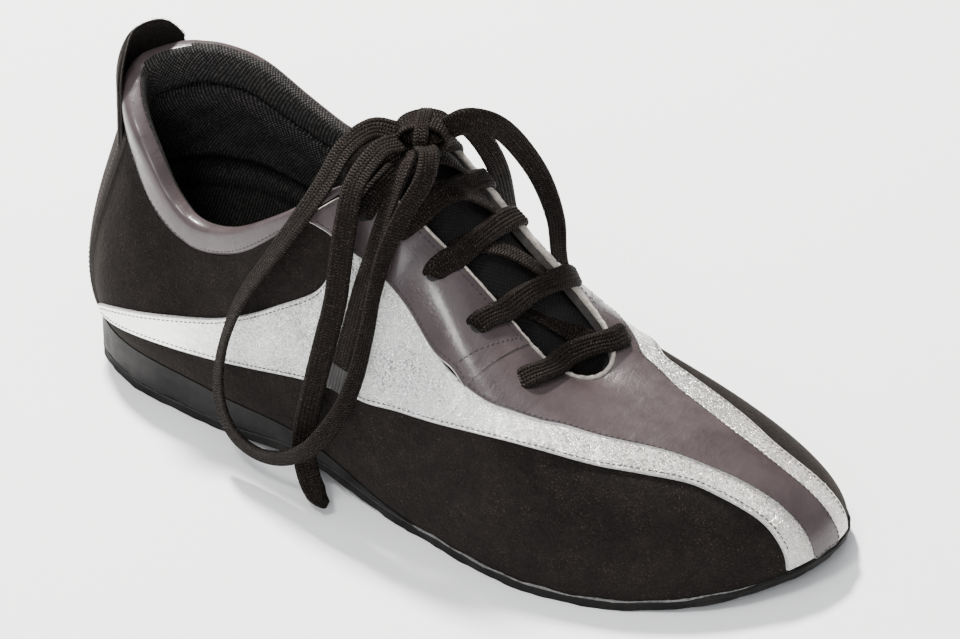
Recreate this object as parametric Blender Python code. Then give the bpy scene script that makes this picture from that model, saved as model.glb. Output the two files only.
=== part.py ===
"""Dance sneaker, right shoe: a low laced shoe of suede, smooth leather and metallic leather.

Frame: +X points to the toe, +Y to the inner (medial) side, +Z up, and the origin is on the floor
under the middle of the heel. Lengths are metres. The upper is worked out as a ring of stations
round the last: 0 at the back of the heel, 1 to 9 along the outer side, 10 at the toe tip and 11 to
19 back along the inner side. Each station's section is a cubic from the feather line, where the
upper meets the sole, to the top line, which is the collar at the back and the throat in front.
"""

import math

import bmesh
import bpy
import numpy as np

# Overall sizes
LENGTH = 0.288
HEEL_WIDTH = 0.071
BALL_WIDTH = 0.106
BACK_HEIGHT = 0.091
INSTEP_HEIGHT = 0.108
COLLAR_WIDTH = 0.060
THROAT_WIDTH = 0.028
THROAT_SHIFT = 0.004
HEEL_REACH = 0.035

# Sole
SOLE_THICKNESS = 0.0035
HEEL_STACK = 0.0163
ARCH_RISE = 0.005
TOE_SPRING = 0.007
SOLE_MARGIN = 0.001
INSOLE_THICKNESS = 0.002

# Leather, padding and clearances
WALL = 0.002
OVERLAY = 0.0012
GAP = 0.0003
OVERLAY_GAP = 0.0010
COLLAR_PAD = 0.009
COLLAR_LIFT = 0.016
TONGUE_PAD = 0.004
TONGUE_REACH = 0.014
TONGUE_GAP = 0.0006
TAB_LIFT = 0.027
TAB_THICKNESS = 0.0018
TAB_LEAN = 0.004
TAB_HALF_SPAN = 0.90
TAB_CORNER_DROP = 0.45
TAB_CORNER_POWER = 3.5
ROLL_POWER = 0.8

# Laces: flat across the throat, drawn as round cord in the bow
LACE_WIDTH = 0.0072
LACE_THICKNESS = 0.0018
LACE_LIFT = 0.0008
LACE_TUBE = 0.0040
LACE_STEP = 0.0110
KNOT_LENGTH = 0.0170
KNOT_WIDTH = 0.0190
KNOT_HEIGHT = 0.0108
KNOT_PLACE = (0.097, 0.003, 0.1210)

# Mesh density
STATIONS = 20
COLUMNS_PER_STATION = 4
STATION_STEP = 0.02
HEIGHT_STEP = 0.005
WALL_ROWS = 9

# Where the floor contact changes along the sole, as shares of LENGTH
ARCH_START = 0.25
ARCH_SPAN = 0.30
SPRING_START = 0.80
WEDGE_START = 0.15
WEDGE_SPAN = 0.47
WEDGE_END = 0.575

# Feather line: along (of LENGTH), heel (of HEEL_WIDTH) and ball (of BALL_WIDTH) from the centre line
FEATHER_OUTER = (
    (0.014, 0.000, 0.000),
    (0.048, 0.325, 0.000),
    (0.140, 0.495, 0.000),
    (0.265, 0.520, 0.000),
    (0.400, 0.330, 0.155),
    (0.510, 0.100, 0.345),
    (0.610, 0.000, 0.450),
    (0.715, 0.000, 0.475),
    (0.830, 0.000, 0.395),
    (0.940, 0.000, 0.170),
    (0.993, 0.000, -0.150),
)
FEATHER_INNER = (
    (0.048, 0.300, 0.000),
    (0.140, 0.445, 0.000),
    (0.260, 0.455, 0.000),
    (0.390, 0.300, 0.105),
    (0.500, 0.100, 0.275),
    (0.615, 0.000, 0.400),
    (0.735, 0.000, 0.430),
    (0.865, 0.000, 0.440),
    (0.958, 0.000, 0.380),
)

# Top line: along (of LENGTH), collar (of COLLAR_WIDTH) and throat (of THROAT_WIDTH) from the centre
# line, shift towards the inner side (of THROAT_SHIFT), then the height as back (of BACK_HEIGHT) plus
# instep (of INSTEP_HEIGHT)
TOP_OUTER = (
    (0.045, 0.000, 0.00, 0.00, 1.020, 0.000),
    (0.080, 0.283, 0.00, 0.00, 0.945, 0.000),
    (0.149, 0.442, 0.00, 0.00, 0.742, 0.000),
    (0.247, 0.500, 0.00, 0.00, 0.725, 0.000),
    (0.344, 0.500, 0.00, 0.00, 0.478, 0.403),
    (0.427, 0.150, 0.46, 1.00, 0.000, 0.990),
    (0.493, 0.000, 0.54, 1.00, 0.000, 0.889),
    (0.556, 0.000, 0.50, 1.00, 0.000, 0.759),
    (0.615, 0.000, 0.50, 1.00, 0.000, 0.630),
    (0.663, 0.000, 0.39, 1.00, 0.000, 0.509),
    (0.698, 0.000, 0.04, 1.00, 0.000, 0.454),
)
TOP_INNER = (
    (0.083, 0.283, 0.00, 0.00, 1.055, 0.000),
    (0.156, 0.467, 0.00, 0.00, 1.020, 0.000),
    (0.264, 0.517, 0.00, 0.00, 0.885, 0.000),
    (0.358, 0.500, 0.00, 0.00, 0.483, 0.407),
    (0.434, 0.150, 0.25, 0.62, 0.000, 1.000),
    (0.517, 0.000, 0.50, 1.00, 0.000, 0.861),
    (0.587, 0.000, 0.50, 1.00, 0.000, 0.722),
    (0.646, 0.000, 0.50, 1.00, 0.000, 0.602),
    (0.694, 0.000, 0.36, 1.00, 0.000, 0.500),
)

# Section shape: bulge and roll push the section outward near the sole and near the top, as shares
# of BALL_WIDTH; rise and drop set how far up and down they act, as shares of the section's height
SECTION_OUTER = (
    (0.080, 0.35, 0.05, 0.30),
    (0.080, 0.33, 0.06, 0.30),
    (0.060, 0.30, 0.05, 0.32),
    (0.050, 0.30, 0.05, 0.35),
    (0.060, 0.30, 0.06, 0.38),
    (0.070, 0.26, 0.14, 0.34),
    (0.050, 0.28, 0.20, 0.22),
    (0.030, 0.35, 0.25, 0.10),
    (0.020, 0.42, 0.29, 0.10),
    (0.010, 0.50, 0.36, 0.08),
    (0.000, 0.58, 0.42, 0.05),
)
SECTION_INNER = (
    (0.080, 0.33, 0.06, 0.30),
    (0.060, 0.30, 0.05, 0.32),
    (0.050, 0.30, 0.05, 0.35),
    (0.060, 0.30, 0.06, 0.38),
    (0.050, 0.28, 0.12, 0.32),
    (0.020, 0.25, 0.14, 0.28),
    (0.010, 0.25, 0.15, 0.25),
    (0.000, 0.28, 0.20, 0.24),
    (0.000, 0.42, 0.28, 0.16),
)

# Overlays, a row for each crossing: low station, low height, high station, high height. Heights are
# shares of the section, 0 at the sole and 1 at the top line. Inner ones count stations from the heel.
SILVER_OUTER = (
    (1.00, 0.030, 1.00, 0.050),
    (1.50, 0.100, 1.45, 0.200),
    (2.10, 0.200, 2.00, 0.370),
    (2.60, 0.270, 2.60, 0.530),
    (3.10, 0.330, 3.20, 0.630),
    (3.70, 0.355, 3.90, 0.685),
    (4.35, 0.380, 4.50, 0.710),
    (5.00, 0.390, 4.95, 0.795),
    (5.75, 0.420, 5.50, 0.750),
    (6.50, 0.450, 6.20, 0.700),
    (7.10, 0.485, 6.85, 0.590),
    (7.60, 0.520, 7.40, 0.585),
    (8.10, 0.550, 8.00, 0.632),
    (8.60, 0.562, 8.60, 0.678),
    (9.00, 0.556, 9.15, 0.672),
    (9.32, 0.510, 9.50, 0.620),
    (9.44, 0.420, 9.68, 0.480),
    (9.51, 0.290, 9.74, 0.330),
    (9.50, 0.160, 9.75, 0.180),
    (9.48, 0.020, 9.74, 0.020),
)
SILVER_INNER = (
    (1.00, 0.030, 1.00, 0.050),
    (1.50, 0.100, 1.45, 0.200),
    (2.10, 0.200, 2.00, 0.370),
    (2.60, 0.270, 2.60, 0.530),
    (3.10, 0.330, 3.20, 0.630),
    (3.70, 0.360, 3.90, 0.685),
    (4.35, 0.400, 4.50, 0.710),
    (5.00, 0.430, 4.95, 0.795),
    (5.75, 0.480, 5.50, 0.750),
    (6.50, 0.530, 6.20, 0.700),
    (7.20, 0.590, 6.95, 0.665),
    (7.80, 0.660, 7.65, 0.735),
    (8.40, 0.735, 8.30, 0.815),
    (8.85, 0.790, 8.90, 0.865),
    (9.12, 0.735, 9.25, 0.825),
    (9.32, 0.655, 9.50, 0.770),
    (9.48, 0.560, 9.70, 0.650),
    (9.59, 0.480, 9.80, 0.530),
    (9.62, 0.370, 9.86, 0.400),
    (9.60, 0.240, 9.87, 0.250),
    (9.58, 0.120, 9.87, 0.120),
    (9.60, 0.020, 9.87, 0.020),
)
EYESTAY_OUTER = (
    (4.35, 0.965, 4.42, 0.995),
    (4.60, 0.895, 4.80, 0.995),
    (4.95, 0.815, 5.25, 0.995),
    (5.50, 0.768, 5.80, 0.995),
    (6.15, 0.722, 6.50, 0.995),
    (6.60, 0.655, 7.20, 0.995),
    (6.88, 0.640, 8.20, 0.995),
)
EYESTAY_INNER = (
    (4.35, 0.965, 4.42, 0.995),
    (4.60, 0.895, 4.80, 0.995),
    (4.95, 0.815, 5.25, 0.995),
    (5.50, 0.768, 5.80, 0.995),
    (6.15, 0.722, 6.50, 0.995),
    (6.65, 0.700, 7.20, 0.995),
    (7.05, 0.700, 8.10, 0.995),
)
VAMP_STRIP = (
    (6.93, 0.612, 8.25, 0.995),
    (7.35, 0.605, 8.45, 0.995),
    (7.75, 0.630, 8.65, 0.995),
    (8.15, 0.660, 8.85, 0.995),
    (8.60, 0.695, 9.05, 0.995),
    (9.17, 0.690, 9.25, 0.995),
    (9.52, 0.636, 9.42, 0.995),
    (9.705, 0.490, 9.55, 0.995),
    (9.765, 0.335, 9.65, 0.995),
    (9.775, 0.180, 9.75, 0.995),
    (9.765, 0.020, 9.82, 0.995),
    (9.94, 0.020, 9.93, 0.995),
    (10.105, 0.020, 10.02, 0.995),
    (10.105, 0.120, 10.08, 0.995),
    (10.105, 0.250, 10.14, 0.995),
    (10.115, 0.403, 10.20, 0.995),
    (10.175, 0.538, 10.27, 0.995),
    (10.275, 0.662, 10.37, 0.995),
    (10.48, 0.786, 10.52, 0.995),
    (10.73, 0.843, 10.73, 0.995),
    (11.06, 0.884, 11.00, 0.995),
    (11.72, 0.830, 11.30, 0.995),
    (12.38, 0.750, 11.60, 0.995),
    (12.92, 0.705, 11.85, 0.995),
)
COUNTER = (
    (-0.95, 0.020, -0.90, 0.985),
    (-0.48, 0.020, -0.45, 0.985),
    (0.00, 0.020, 0.00, 0.985),
    (0.48, 0.020, 0.45, 0.985),
    (0.95, 0.020, 0.90, 0.985),
)

# Collar roll: station, thickness (of COLLAR_PAD) and height (of COLLAR_LIFT), the same on both sides
COLLAR = (
    (0.0, 1.00, 1.00),
    (1.0, 1.00, 0.95),
    (2.0, 0.85, 0.80),
    (3.0, 0.70, 0.62),
    (3.7, 0.60, 0.48),
    (4.3, 0.42, 0.28),
    (4.8, 0.33, 0.20),
)

# Tongue: station of each crossing from the throat's end to the top eyelets
TONGUE_STATIONS = (9.75, 9.3, 8.6, 7.8, 7.0, 6.2, 5.6, 5.0)
TONGUE_EDGE = 0.90
TONGUE_TOP = ((0.40, 0.96), (0.80, 0.82), (1.00, 0.55))

# Lace bars, from the toe to the top: the outer hole's station and height, the stations where the bar
# leaves the outer facing and reaches the inner one, and the inner hole's station and height. Inner
# ones count from the heel. The bow is how far a bar follows the tongue's arch, 0 for a straight line.
BARS = (
    (7.83, 0.740, 9.00, 8.80, 8.65, 0.900),
    (7.18, 0.795, 7.73, 7.52, 7.40, 0.890),
    (6.40, 0.850, 6.67, 6.35, 6.20, 0.890),
    (5.62, 0.890, 5.85, 5.80, 5.66, 0.890),
    (5.05, 0.900, 5.20, 5.25, 5.15, 0.890),
)
BAR_BOW = 0.50

# The bow: route points of each loop and end, in metres
BOW = (
    ("lace_loop_outer", (
        (0.0896, -0.0024, 0.1209),
        (0.0828, -0.0064, 0.1217),
        (0.0790, -0.0160, 0.1180),
        (0.0775, -0.0255, 0.1090),
        (0.0735, -0.0325, 0.0985),
        (0.0650, -0.0372, 0.0825),
        (0.0550, -0.0410, 0.0645),
        (0.0495, -0.0440, 0.0485),
        (0.0485, -0.0480, 0.0340),
        (0.0515, -0.0510, 0.0225),
        (0.0590, -0.0535, 0.0150),
        (0.0705, -0.0550, 0.0130),
        (0.0830, -0.0560, 0.0175),
        (0.0940, -0.0555, 0.0270),
        (0.1020, -0.0520, 0.0410),
        (0.1060, -0.0485, 0.0545),
        (0.1070, -0.0435, 0.0690),
        (0.1070, -0.0385, 0.0835),
        (0.1075, -0.0325, 0.0970),
        (0.1095, -0.0255, 0.1085),
        (0.1115, -0.0175, 0.1175),
        (0.1084, -0.0098, 0.1223),
        (0.1028, -0.0042, 0.1211),
    )),
    ("lace_loop_inner", (
        (0.1044, 0.0067, 0.1234),
        (0.1103, 0.0090, 0.1277),
        (0.1165, 0.0155, 0.1245),
        (0.1205, 0.0230, 0.1145),
        (0.1240, 0.0315, 0.0980),
        (0.1255, 0.0380, 0.0790),
        (0.1245, 0.0425, 0.0590),
        (0.1270, 0.0475, 0.0400),
        (0.1200, 0.0505, 0.0290),
        (0.1110, 0.0500, 0.0270),
        (0.1045, 0.0470, 0.0350),
        (0.1035, 0.0435, 0.0500),
        (0.1065, 0.0390, 0.0660),
        (0.1085, 0.0335, 0.0820),
        (0.1090, 0.0285, 0.0970),
        (0.1065, 0.0240, 0.1090),
        (0.1027, 0.0193, 0.1174),
        (0.0999, 0.0122, 0.1194),
    )),
    ("lace_end_long", (
        (0.0942, -0.0064, 0.1205),
        (0.0914, -0.0138, 0.1205),
        (0.0895, -0.0245, 0.1130),
        (0.0905, -0.0315, 0.1015),
        (0.0915, -0.0360, 0.0890),
        (0.0920, -0.0400, 0.0750),
        (0.0905, -0.0440, 0.0600),
        (0.0885, -0.0475, 0.0440),
        (0.0860, -0.0490, 0.0295),
        (0.0855, -0.0500, 0.0185),
        (0.0895, -0.0525, 0.0100),
        (0.0945, -0.0545, 0.0060),
        (0.0990, -0.0565, 0.0055),
    )),
    ("lace_end_short", (
        (0.0987, -0.0064, 0.1187),
        (0.1003, -0.0135, 0.1156),
        (0.1005, -0.0205, 0.1075),
        (0.1005, -0.0260, 0.0998),
        (0.1010, -0.0315, 0.0920),
        (0.1010, -0.0375, 0.0820),
        (0.1005, -0.0420, 0.0705),
        (0.0995, -0.0460, 0.0580),
        (0.0985, -0.0485, 0.0485),
    )),
)

# Materials: colour, roughness, metallic
SUEDE = ("black_suede", (0.022, 0.019, 0.018), 0.92, 0.0)
PLUM = ("plum_leather", (0.120, 0.095, 0.112), 0.35, 0.0)
SILVER = ("silver_leather", (0.620, 0.630, 0.620), 0.34, 0.6)
MESH = ("black_mesh", (0.018, 0.018, 0.018), 0.85, 0.0)
RUBBER = ("grey_rubber", (0.055, 0.052, 0.055), 0.60, 0.0)
FOOTBED = ("black_footbed", (0.020, 0.020, 0.020), 0.90, 0.0)
LACE = ("black_lace", (0.020, 0.018, 0.017), 0.80, 0.0)


def clear_scene():
    for item in list(bpy.data.objects):
        bpy.data.objects.remove(item, do_unlink=True)


def shoe_collection():
    collection = bpy.data.collections.new("dance_sneaker")
    bpy.context.scene.collection.children.link(collection)
    return collection


def make_material(look):
    name, colour, roughness, metallic = look
    material = bpy.data.materials.get(name)
    if material is None:
        material = bpy.data.materials.new(name)
        material.use_nodes = True
        shader = material.node_tree.nodes["Principled BSDF"]
        shader.inputs["Base Color"].default_value = (*colour, 1.0)
        shader.inputs["Roughness"].default_value = roughness
        shader.inputs["Metallic"].default_value = metallic
        material.diffuse_color = (*colour, 1.0)
    return material


# Heights along the sole

def floor_gap(share):
    """Height of the sole's underside: flat heel and forefoot, raised arch and toe spring."""
    arch = np.sin(np.pi * np.clip((share - ARCH_START) / ARCH_SPAN, 0.0, 1.0)) ** 2
    spring = np.maximum((share - SPRING_START) / (1.0 - SPRING_START), 0.0) ** 2
    return ARCH_RISE * arch + TOE_SPRING * spring


def wedge_depth(share):
    """Thickness of the heel wedge, full under the heel and running out before the ball."""
    step = np.clip((share - WEDGE_START) / WEDGE_SPAN, 0.0, 1.0)
    return (HEEL_STACK - SOLE_THICKNESS) * (1.0 - step * step * (3.0 - 2.0 * step))


def share_of(x):
    return (x + HEEL_REACH) / LENGTH


def sole_top(x):
    return floor_gap(share_of(x)) + SOLE_THICKNESS


def seat_top(x):
    return sole_top(x) + wedge_depth(share_of(x))


# The last

def ring_of(outer, inner, place):
    """Rows of both sides as one ring of stations; place turns a row and its side into values."""
    rows = [place(row, -1.0) for row in outer]
    rows += [place(row, 1.0) for row in reversed(inner)]
    return spline_controls(np.array(rows))


def spline_controls(values):
    """Control points of the closed cubic B-spline that passes through the values."""
    count = len(values)
    matrix = np.eye(count) * 4.0 / 6.0
    for row in range(count):
        matrix[row, (row + 1) % count] += 1.0 / 6.0
        matrix[row, row - 1] += 1.0 / 6.0
    return np.linalg.solve(matrix, values)


def ring_value(controls, station):
    station = np.asarray(station, float)
    base = np.floor(station).astype(int)
    step = (station - base)[..., None]
    weights = (
        (1.0 - step) ** 3 / 6.0,
        (3.0 * step ** 3 - 6.0 * step ** 2 + 4.0) / 6.0,
        (-3.0 * step ** 3 + 3.0 * step ** 2 + 3.0 * step + 1.0) / 6.0,
        step ** 3 / 6.0,
    )
    count = len(controls)
    return sum(weight * controls[(base - 1 + place) % count] for place, weight in enumerate(weights))


def feather_row(row, side):
    along, heel, ball = row
    return along * LENGTH - HEEL_REACH, side * (heel * HEEL_WIDTH + ball * BALL_WIDTH), 0.0


def top_row(row, side):
    along, collar, throat, shift, back, instep = row
    y = side * (collar * COLLAR_WIDTH + throat * THROAT_WIDTH) + shift * THROAT_SHIFT
    return along * LENGTH - HEEL_REACH, y, back * BACK_HEIGHT + instep * INSTEP_HEIGHT


FEATHER = ring_of(FEATHER_OUTER, FEATHER_INNER, feather_row)
TOP = ring_of(TOP_OUTER, TOP_INNER, top_row)
SECTION = ring_of(SECTION_OUTER, SECTION_INNER, lambda row, side: row)


def outward(station):
    """Level direction away from the shoe, square to the feather line."""
    station = np.asarray(station, float)
    along = ring_value(FEATHER, station + STATION_STEP) - ring_value(FEATHER, station - STATION_STEP)
    away = np.stack([along[..., 1], -along[..., 0], np.zeros_like(along[..., 0])], axis=-1)
    return away / np.linalg.norm(away, axis=-1, keepdims=True)


def foot_point(station, margin):
    """Point on the sole by the feather line, moved outward by the margin."""
    point = ring_value(FEATHER, station) + outward(station) * margin
    point[..., 2] = seat_top(point[..., 0]) + GAP
    return point


def section_frame(station):
    """The four control points of a station's section."""
    foot = foot_point(station, 0.0)
    head = ring_value(TOP, station)
    shape = ring_value(SECTION, station)
    away = outward(station)
    rise = np.zeros_like(foot)
    rise[..., 2] = head[..., 2] - foot[..., 2]
    low = foot + away * shape[..., 0:1] * BALL_WIDTH + rise * shape[..., 1:2]
    high = head + away * shape[..., 2:3] * BALL_WIDTH - rise * shape[..., 3:4]
    return foot, low, high, head


def last_point(station, height):
    station, height = np.broadcast_arrays(np.asarray(station, float), np.asarray(height, float))
    foot, low, high, head = section_frame(station)
    t = height[..., None]
    s = 1.0 - t
    return s ** 3 * foot + 3.0 * s * s * t * low + 3.0 * s * t * t * high + t ** 3 * head


def last_normal(station, height):
    round_way = last_point(station + STATION_STEP, height) - last_point(station - STATION_STEP, height)
    up_way = last_point(station, height + HEIGHT_STEP) - last_point(station, height - HEIGHT_STEP)
    normal = np.cross(round_way, up_way)
    return normal / np.linalg.norm(normal, axis=-1, keepdims=True)


def skin(station, height, offset):
    """Point of the last's surface moved outward by the offset."""
    station, height = np.broadcast_arrays(np.asarray(station, float), np.asarray(height, float))
    return last_point(station, height) + last_normal(station, height) * offset


# Solids from grids of points

def new_object(name, mesh, look, collection):
    item = bpy.data.objects.new(name, mesh)
    mesh.materials.append(make_material(look))
    collection.objects.link(item)
    return item


def mesh_from_faces(name, points, faces, smooth_angle=40.0):
    """A closed mesh with its faces turned outward; points that coincide are joined."""
    mesh = bpy.data.meshes.new(name)
    shape = bmesh.new()
    corners = [shape.verts.new(point) for point in points]
    for face in faces:
        if len(set(face)) > 2:
            shape.faces.new([corners[index] for index in face])
    bmesh.ops.remove_doubles(shape, verts=shape.verts, dist=1e-6)
    bmesh.ops.dissolve_degenerate(shape, dist=1e-7, edges=shape.edges)
    bmesh.ops.recalc_face_normals(shape, faces=shape.faces)
    bmesh.ops.triangulate(shape, faces=shape.faces)
    shape.to_mesh(mesh)
    shape.free()
    mesh.shade_smooth()
    mesh.set_sharp_from_angle(angle=math.radians(smooth_angle))
    return mesh


def shell_faces(rows, columns, closed):
    """Faces of a sheet with two skins, rows by columns points each, the second skin after the first."""
    skin_size = rows * columns
    faces = []
    spans = columns if closed else columns - 1
    for row in range(rows - 1):
        for column in range(spans):
            here = row * columns + column
            beside = row * columns + (column + 1) % columns
            faces.append((here, beside, beside + columns, here + columns))
            faces.append((here + skin_size, here + columns + skin_size, beside + columns + skin_size,
                          beside + skin_size))
    for column in range(spans):
        beside = (column + 1) % columns
        last = (rows - 1) * columns
        faces.append((column, column + skin_size, beside + skin_size, beside))
        faces.append((last + column, last + beside, last + beside + skin_size, last + column + skin_size))
    if not closed:
        for row in range(rows - 1):
            for edge in (row * columns, row * columns + columns - 1):
                faces.append((edge, edge + columns, edge + columns + skin_size, edge + skin_size))
    return faces


def sheet_object(name, outer, inner, look, collection, closed=False):
    """A sheet between two grids of points, each rows x columns x 3."""
    rows, columns = outer.shape[:2]
    points = np.concatenate([outer.reshape(-1, 3), inner.reshape(-1, 3)])
    mesh = mesh_from_faces(name, points.tolist(), shell_faces(rows, columns, closed))
    return new_object(name, mesh, look, collection)


def smooth_rows(rows, samples):
    """Rows resampled along a curve that passes through each of them."""
    rows = np.array(rows, float)
    padded = np.vstack([2.0 * rows[0] - rows[1], rows, 2.0 * rows[-1] - rows[-2]])
    place = np.linspace(0.0, len(rows) - 1.0, samples)
    base = np.minimum(place.astype(int), len(rows) - 2)
    t = (place - base)[:, None]
    before, start, end, after = (padded[base + step] for step in range(4))
    return 0.5 * (2.0 * start + (end - before) * t
                  + (2.0 * before - 5.0 * start + 4.0 * end - after) * t ** 2
                  + (3.0 * start - before - 3.0 * end + after) * t ** 3)


# The pieces

def sole_ribs(name, margin, low, high, look, collection, last_share=1.1, rib_points=5):
    """A plate under the last: ribs from the outer to the inner feather line, low and high in x."""
    stations = np.linspace(0.0, 10.0, 10 * COLUMNS_PER_STATION + 1)
    outer = ring_value(FEATHER, stations) + outward(stations) * margin
    inner = ring_value(FEATHER, STATIONS - stations) + outward(STATIONS - stations) * margin
    across = np.linspace(0.0, 1.0, rib_points)[:, None, None]
    grid = outer[None] * (1.0 - across) + inner[None] * across
    keep = share_of(grid[..., 0]).max(axis=0) < last_share
    grid = grid[:, keep]
    top = grid.copy()
    top[..., 2] = high(grid[..., 0])
    under = grid.copy()
    under[..., 2] = low(grid[..., 0])
    return sheet_object(name, top, under, look, collection)


def make_outsole(collection):
    return sole_ribs("outsole", SOLE_MARGIN, lambda x: floor_gap(share_of(x)), sole_top, RUBBER, collection)


def make_heel_wedge(collection):
    return sole_ribs("heel_wedge", SOLE_MARGIN, lambda x: sole_top(x) + GAP, seat_top, RUBBER, collection,
                     last_share=WEDGE_END)


def make_insole(collection):
    margin = -(WALL + 2.0 * GAP)
    return sole_ribs("insole", margin, lambda x: seat_top(x) + GAP,
                     lambda x: seat_top(x) + GAP + INSOLE_THICKNESS, FOOTBED, collection)


def make_upper(collection):
    stations = np.linspace(0.0, STATIONS, STATIONS * COLUMNS_PER_STATION + 1)[:-1]
    heights = np.linspace(0.0, 1.0, WALL_ROWS + 1)
    across, up = np.meshgrid(stations, heights)
    outer = last_point(across, up)
    inner = skin(across, up, -WALL)
    inner[0] = foot_point(stations, -WALL)
    return sheet_object("upper", outer, inner, SUEDE, collection, closed=True)


def make_overlay(name, rows, look, collection, samples, crossings=3, inner_side=False):
    """A leather piece on the upper, between its low and its high edge."""
    edges = smooth_rows(rows, samples)
    if inner_side:
        edges[:, 0] = STATIONS - edges[:, 0]
        edges[:, 2] = STATIONS - edges[:, 2]
    share = np.linspace(0.0, 1.0, crossings + 1)[:, None]
    station = edges[:, 0] * (1.0 - share) + edges[:, 2] * share
    height = edges[:, 1] * (1.0 - share) + edges[:, 3] * share
    return sheet_object(name, skin(station, height, OVERLAY_GAP + OVERLAY),
                        skin(station, height, OVERLAY_GAP), look, collection)


def top_frame(station):
    """The top line's point, the way round it, outward and up, square to each other."""
    point = ring_value(TOP, station)
    way = ring_value(TOP, station + STATION_STEP) - ring_value(TOP, station - STATION_STEP)
    way /= np.linalg.norm(way, axis=-1, keepdims=True)
    away = outward(station)
    away = away - way * np.sum(away * way, axis=-1, keepdims=True)
    away /= np.linalg.norm(away, axis=-1, keepdims=True)
    up = np.cross(way, away)
    return point, away, up * np.sign(up[..., 2:3])


def make_collar(collection):
    """The padded roll that stands on the upper's edge from ear to ear round the heel."""
    half = smooth_rows(COLLAR, 21)
    mirrored = half[:0:-1] * (-1.0, 1.0, 1.0)
    sizes = np.vstack([mirrored, half])
    point, away, up = top_frame(sizes[:, 0])
    turn = np.linspace(0.0, 2.0 * np.pi, 11)[:-1]
    pad = sizes[:, 1] * COLLAR_PAD
    lift = sizes[:, 2] * COLLAR_LIFT
    rings = []
    for angle in turn:
        wide = abs(math.cos(angle)) ** ROLL_POWER * math.copysign(0.5, math.cos(angle))
        tall = abs(math.sin(angle)) ** ROLL_POWER * math.copysign(0.5, math.sin(angle))
        rings.append(point + away * (pad * (wide - 0.5) + OVERLAY)[:, None]
                     + up * (lift * (tall + 0.5) + GAP)[:, None])
    rings = np.array(rings)
    return tube_object("collar", rings, PLUM, collection)


def tube_object(name, rings, look, collection):
    """A closed tube through rings of points, rings[turn, place], with flat ends."""
    turns, places = rings.shape[:2]
    faces = []
    for turn in range(turns):
        beside = (turn + 1) % turns
        for place in range(places - 1):
            faces.append((turn * places + place, beside * places + place, beside * places + place + 1,
                          turn * places + place + 1))
    faces.append([turn * places for turn in range(turns)])
    faces.append([turn * places + places - 1 for turn in range(turns)])
    return new_object(name, mesh_from_faces(name, rings.reshape(-1, 3).tolist(), faces), look, collection)


def make_heel_tab(collection):
    """The suede pull tab behind the collar, round at its top."""
    across = np.linspace(-1.0, 1.0, 11)
    up = np.linspace(0.0, 1.0, 6)[:, None]
    station = across * TAB_HALF_SPAN
    point = ring_value(TOP, station)
    away = outward(station)
    crown = 1.0 - TAB_CORNER_DROP * np.abs(across) ** TAB_CORNER_POWER
    height = up * TAB_LIFT * crown
    over_roll = np.clip((height - COLLAR_LIFT) / (TAB_LIFT - COLLAR_LIFT), 0.0, 1.0)
    lean = TAB_LEAN * over_roll ** 2
    grids = []
    for depth in (TAB_THICKNESS, 0.0):
        offset = OVERLAY + 2.0 * GAP + depth - lean
        grid = point[None] + away[None] * offset[..., None]
        grid[..., 2] += 2.0 * GAP + OVERLAY + height
        grids.append(grid)
    return sheet_object("heel_tab", grids[0], grids[1], SUEDE, collection)


def bridge(outer_station, inner_station, share):
    """Point over the throat between a station of the outer facing and one of the inner facing."""
    _, _, outer_high, outer_head = section_frame(np.array(outer_station))
    _, _, inner_high, inner_head = section_frame(np.array(inner_station))
    span = np.linalg.norm(inner_head - outer_head, axis=-1, keepdims=True)
    leave = outer_head - outer_high
    leave = leave / np.linalg.norm(leave, axis=-1, keepdims=True) * span
    arrive = inner_high - inner_head
    arrive = arrive / np.linalg.norm(arrive, axis=-1, keepdims=True) * span
    t = share
    return ((2 * t ** 3 - 3 * t ** 2 + 1) * outer_head + (t ** 3 - 2 * t ** 2 + t) * leave
            + (3 * t ** 2 - 2 * t ** 3) * inner_head + (t ** 3 - t ** 2) * arrive)


def make_tongue(collection):
    """The padded tongue: under both facings, across the throat and on above the top eyelets."""
    stations = smooth_rows([(value,) for value in TONGUE_STATIONS], 14)[:, 0]
    under = np.linspace(TONGUE_EDGE, 1.0, 4)[:-1]
    rows = []
    for station in stations:
        row = [last_point(station, height) for height in under]
        row += [bridge(station, STATIONS - station, share) for share in np.linspace(0.0, 1.0, 6)]
        row += [last_point(STATIONS - station, height) for height in under[::-1]]
        rows.append(row)
    grid = np.array(rows)
    rise = grid[-1].mean(axis=0) - grid[-3].mean(axis=0)
    rise /= np.linalg.norm(rise)
    middle = grid[-1].mean(axis=0)
    top = [middle + (grid[-1] - middle) * width + rise * TONGUE_REACH * reach for reach, width in TONGUE_TOP]
    grid = np.concatenate([grid, np.array(top)])
    along = np.gradient(grid, axis=0)
    across = np.gradient(grid, axis=1)
    normal = np.cross(across, along)
    normal /= np.linalg.norm(normal, axis=-1, keepdims=True)
    normal *= np.sign(normal[len(grid) // 2, grid.shape[1] // 2, 2])
    near = WALL + TONGUE_GAP
    return sheet_object("tongue", grid - normal * near, grid - normal * (near + TONGUE_PAD), MESH, collection)


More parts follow.
